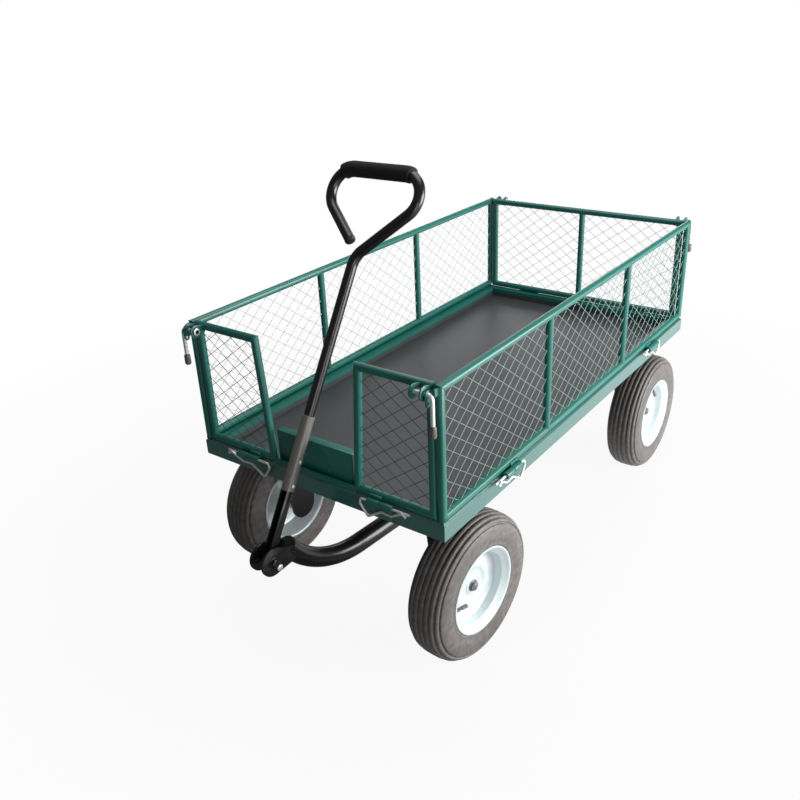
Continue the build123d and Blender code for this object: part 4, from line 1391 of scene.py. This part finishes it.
ground = bmesh.new()
bmesh.ops.create_grid(ground, x_segments=1, y_segments=1, size=30.0)
ground_mesh = bpy.data.meshes.new("studio_floor")
ground.to_mesh(ground_mesh)
ground.free()
studio_floor = placed("studio_floor", ground_mesh)
floor_paper = bpy.data.materials.new("white_paper")
floor_paper.use_nodes = True
paper_tree = floor_paper.node_tree
paper = paper_tree.nodes["Principled BSDF"]
paper.inputs["Roughness"].default_value = 0.9
glow = node(paper_tree, "ShaderNodeEmission", {"Color": (1, 1, 1, 1), "Strength": 1.0})
floor_where = node(paper_tree, "ShaderNodeTexCoord")
floor_rays = node(paper_tree, "ShaderNodeLightPath")
paper_shade = node(paper_tree, "ShaderNodeMapRange", {"To Min": 0.45, "To Max": 0.08})
distance = node(paper_tree, "ShaderNodeVectorMath", operation="LENGTH")
far_values = {"From Min": 0.7, "From Max": 2.0, "To Min": 0.93, "To Max": 1.0}
far_white = node(paper_tree, "ShaderNodeMapRange", far_values)
lit_side = node(paper_tree, "ShaderNodeVectorMath", {1: (0.8, 0.6, 0)}, operation="DOT_PRODUCT")
lit_values = {"From Min": -0.2, "From Max": 0.4, "To Min": 0.04, "To Max": 1.0}
lit_share = node(paper_tree, "ShaderNodeMapRange", lit_values)
floor_white, floor_part = shown_white(paper_tree, floor_rays)
share = node(paper_tree, "ShaderNodeMath", operation="MULTIPLY")
blend = node(paper_tree, "ShaderNodeMixShader")
join(
    paper_tree,
    (floor_rays, "Is Glossy Ray", paper_shade, "Value"),
    (paper_shade, "Result", paper, "Base Color"),
    (floor_where, "Object", distance, 0),
    (distance, "Value", far_white, "Value"),
    (floor_where, "Object", lit_side, 0),
    (lit_side, "Value", lit_share, "Value"),
    (lit_share, "Result", floor_part, 1),
    (floor_white, 0, share, 0),
    (far_white, "Result", share, 1),
    (share, 0, blend, 0),
    (paper, 0, blend, 1),
    (glow, 0, blend, 2),
    (blend, 0, paper_tree.nodes["Material Output"], "Surface"),
)
studio_floor.data.materials.append(floor_paper)
print("paper floor:", len(paper_tree.nodes), "nodes")

# %% [markdown]
# ## White background
# Behind the trolley everything is white. A sky that lights the scene as brightly as it looks would wash out
# all shading, so the same Light Path nodes make it white to look at, but dim as a light and in reflections.
# The Standard view keeps that white pure.

# %% Sky
bpy.context.scene.view_settings.view_transform = "Standard"
sky = bpy.data.worlds.new("white_studio")
bpy.context.scene.world = sky
sky.use_nodes = True
sky_tree = sky.node_tree
backdrop = sky_tree.nodes["Background"]
backdrop.inputs["Color"].default_value = (1, 1, 1, 1)
sky_level = node(sky_tree, "ShaderNodeMapRange", {"To Min": 0.10, "To Max": 1.0})
sky_white, sky_part = shown_white(sky_tree, node(sky_tree, "ShaderNodeLightPath"))
sky_part.inputs[1].default_value = 0.05
join(sky_tree, (sky_white, 0, sky_level, "Value"), (sky_level, "Result", backdrop, "Strength"))
print("sky:", len(sky_tree.nodes), "nodes")

# %% [markdown]
# ## Soft boxes
# In the photograph the right-hand faces are pale and the front ones dark, so the main light is a large soft
# box on the right. A weaker one hangs above, one behind brightens the rear, and a narrow strip in front
# draws thin lines on tyres and tubes. Point lamps would give hard shadows, and the photograph has none.

# %% Four soft boxes


def soft_box(name, spot, aim, size, power):
    """A rectangular lamp that looks at a point."""
    lamp = bpy.data.lights.new(name, "AREA")
    lamp.shape = "RECTANGLE"
    lamp.size, lamp.size_y = size
    lamp.energy = power
    box = placed(name, lamp)
    box.location = spot
    box.rotation_euler = (Vector(aim) - Vector(spot)).to_track_quat("-Z", "Y").to_euler()


soft_box("right_light", (2.30, 0.75, 0.80), (0.2, 0.1, 0.35), (2.0, 1.5), 112)
soft_box("top_light", (-0.2, 0.5, 2.9), (0, 0.1, 0.3), (2.2, 2.2), 46)
soft_box("rear_light", (-1.7, 3.7, 1.45), (0, 0.6, 0.36), (2.4, 0.9), 20)
soft_box("strip_light", (2.1, -1.75, 0.95), (0, -0.4, 0.45), (0.14, 1.3), 11)
print("studio lit with", len(bpy.data.lights), "soft boxes")
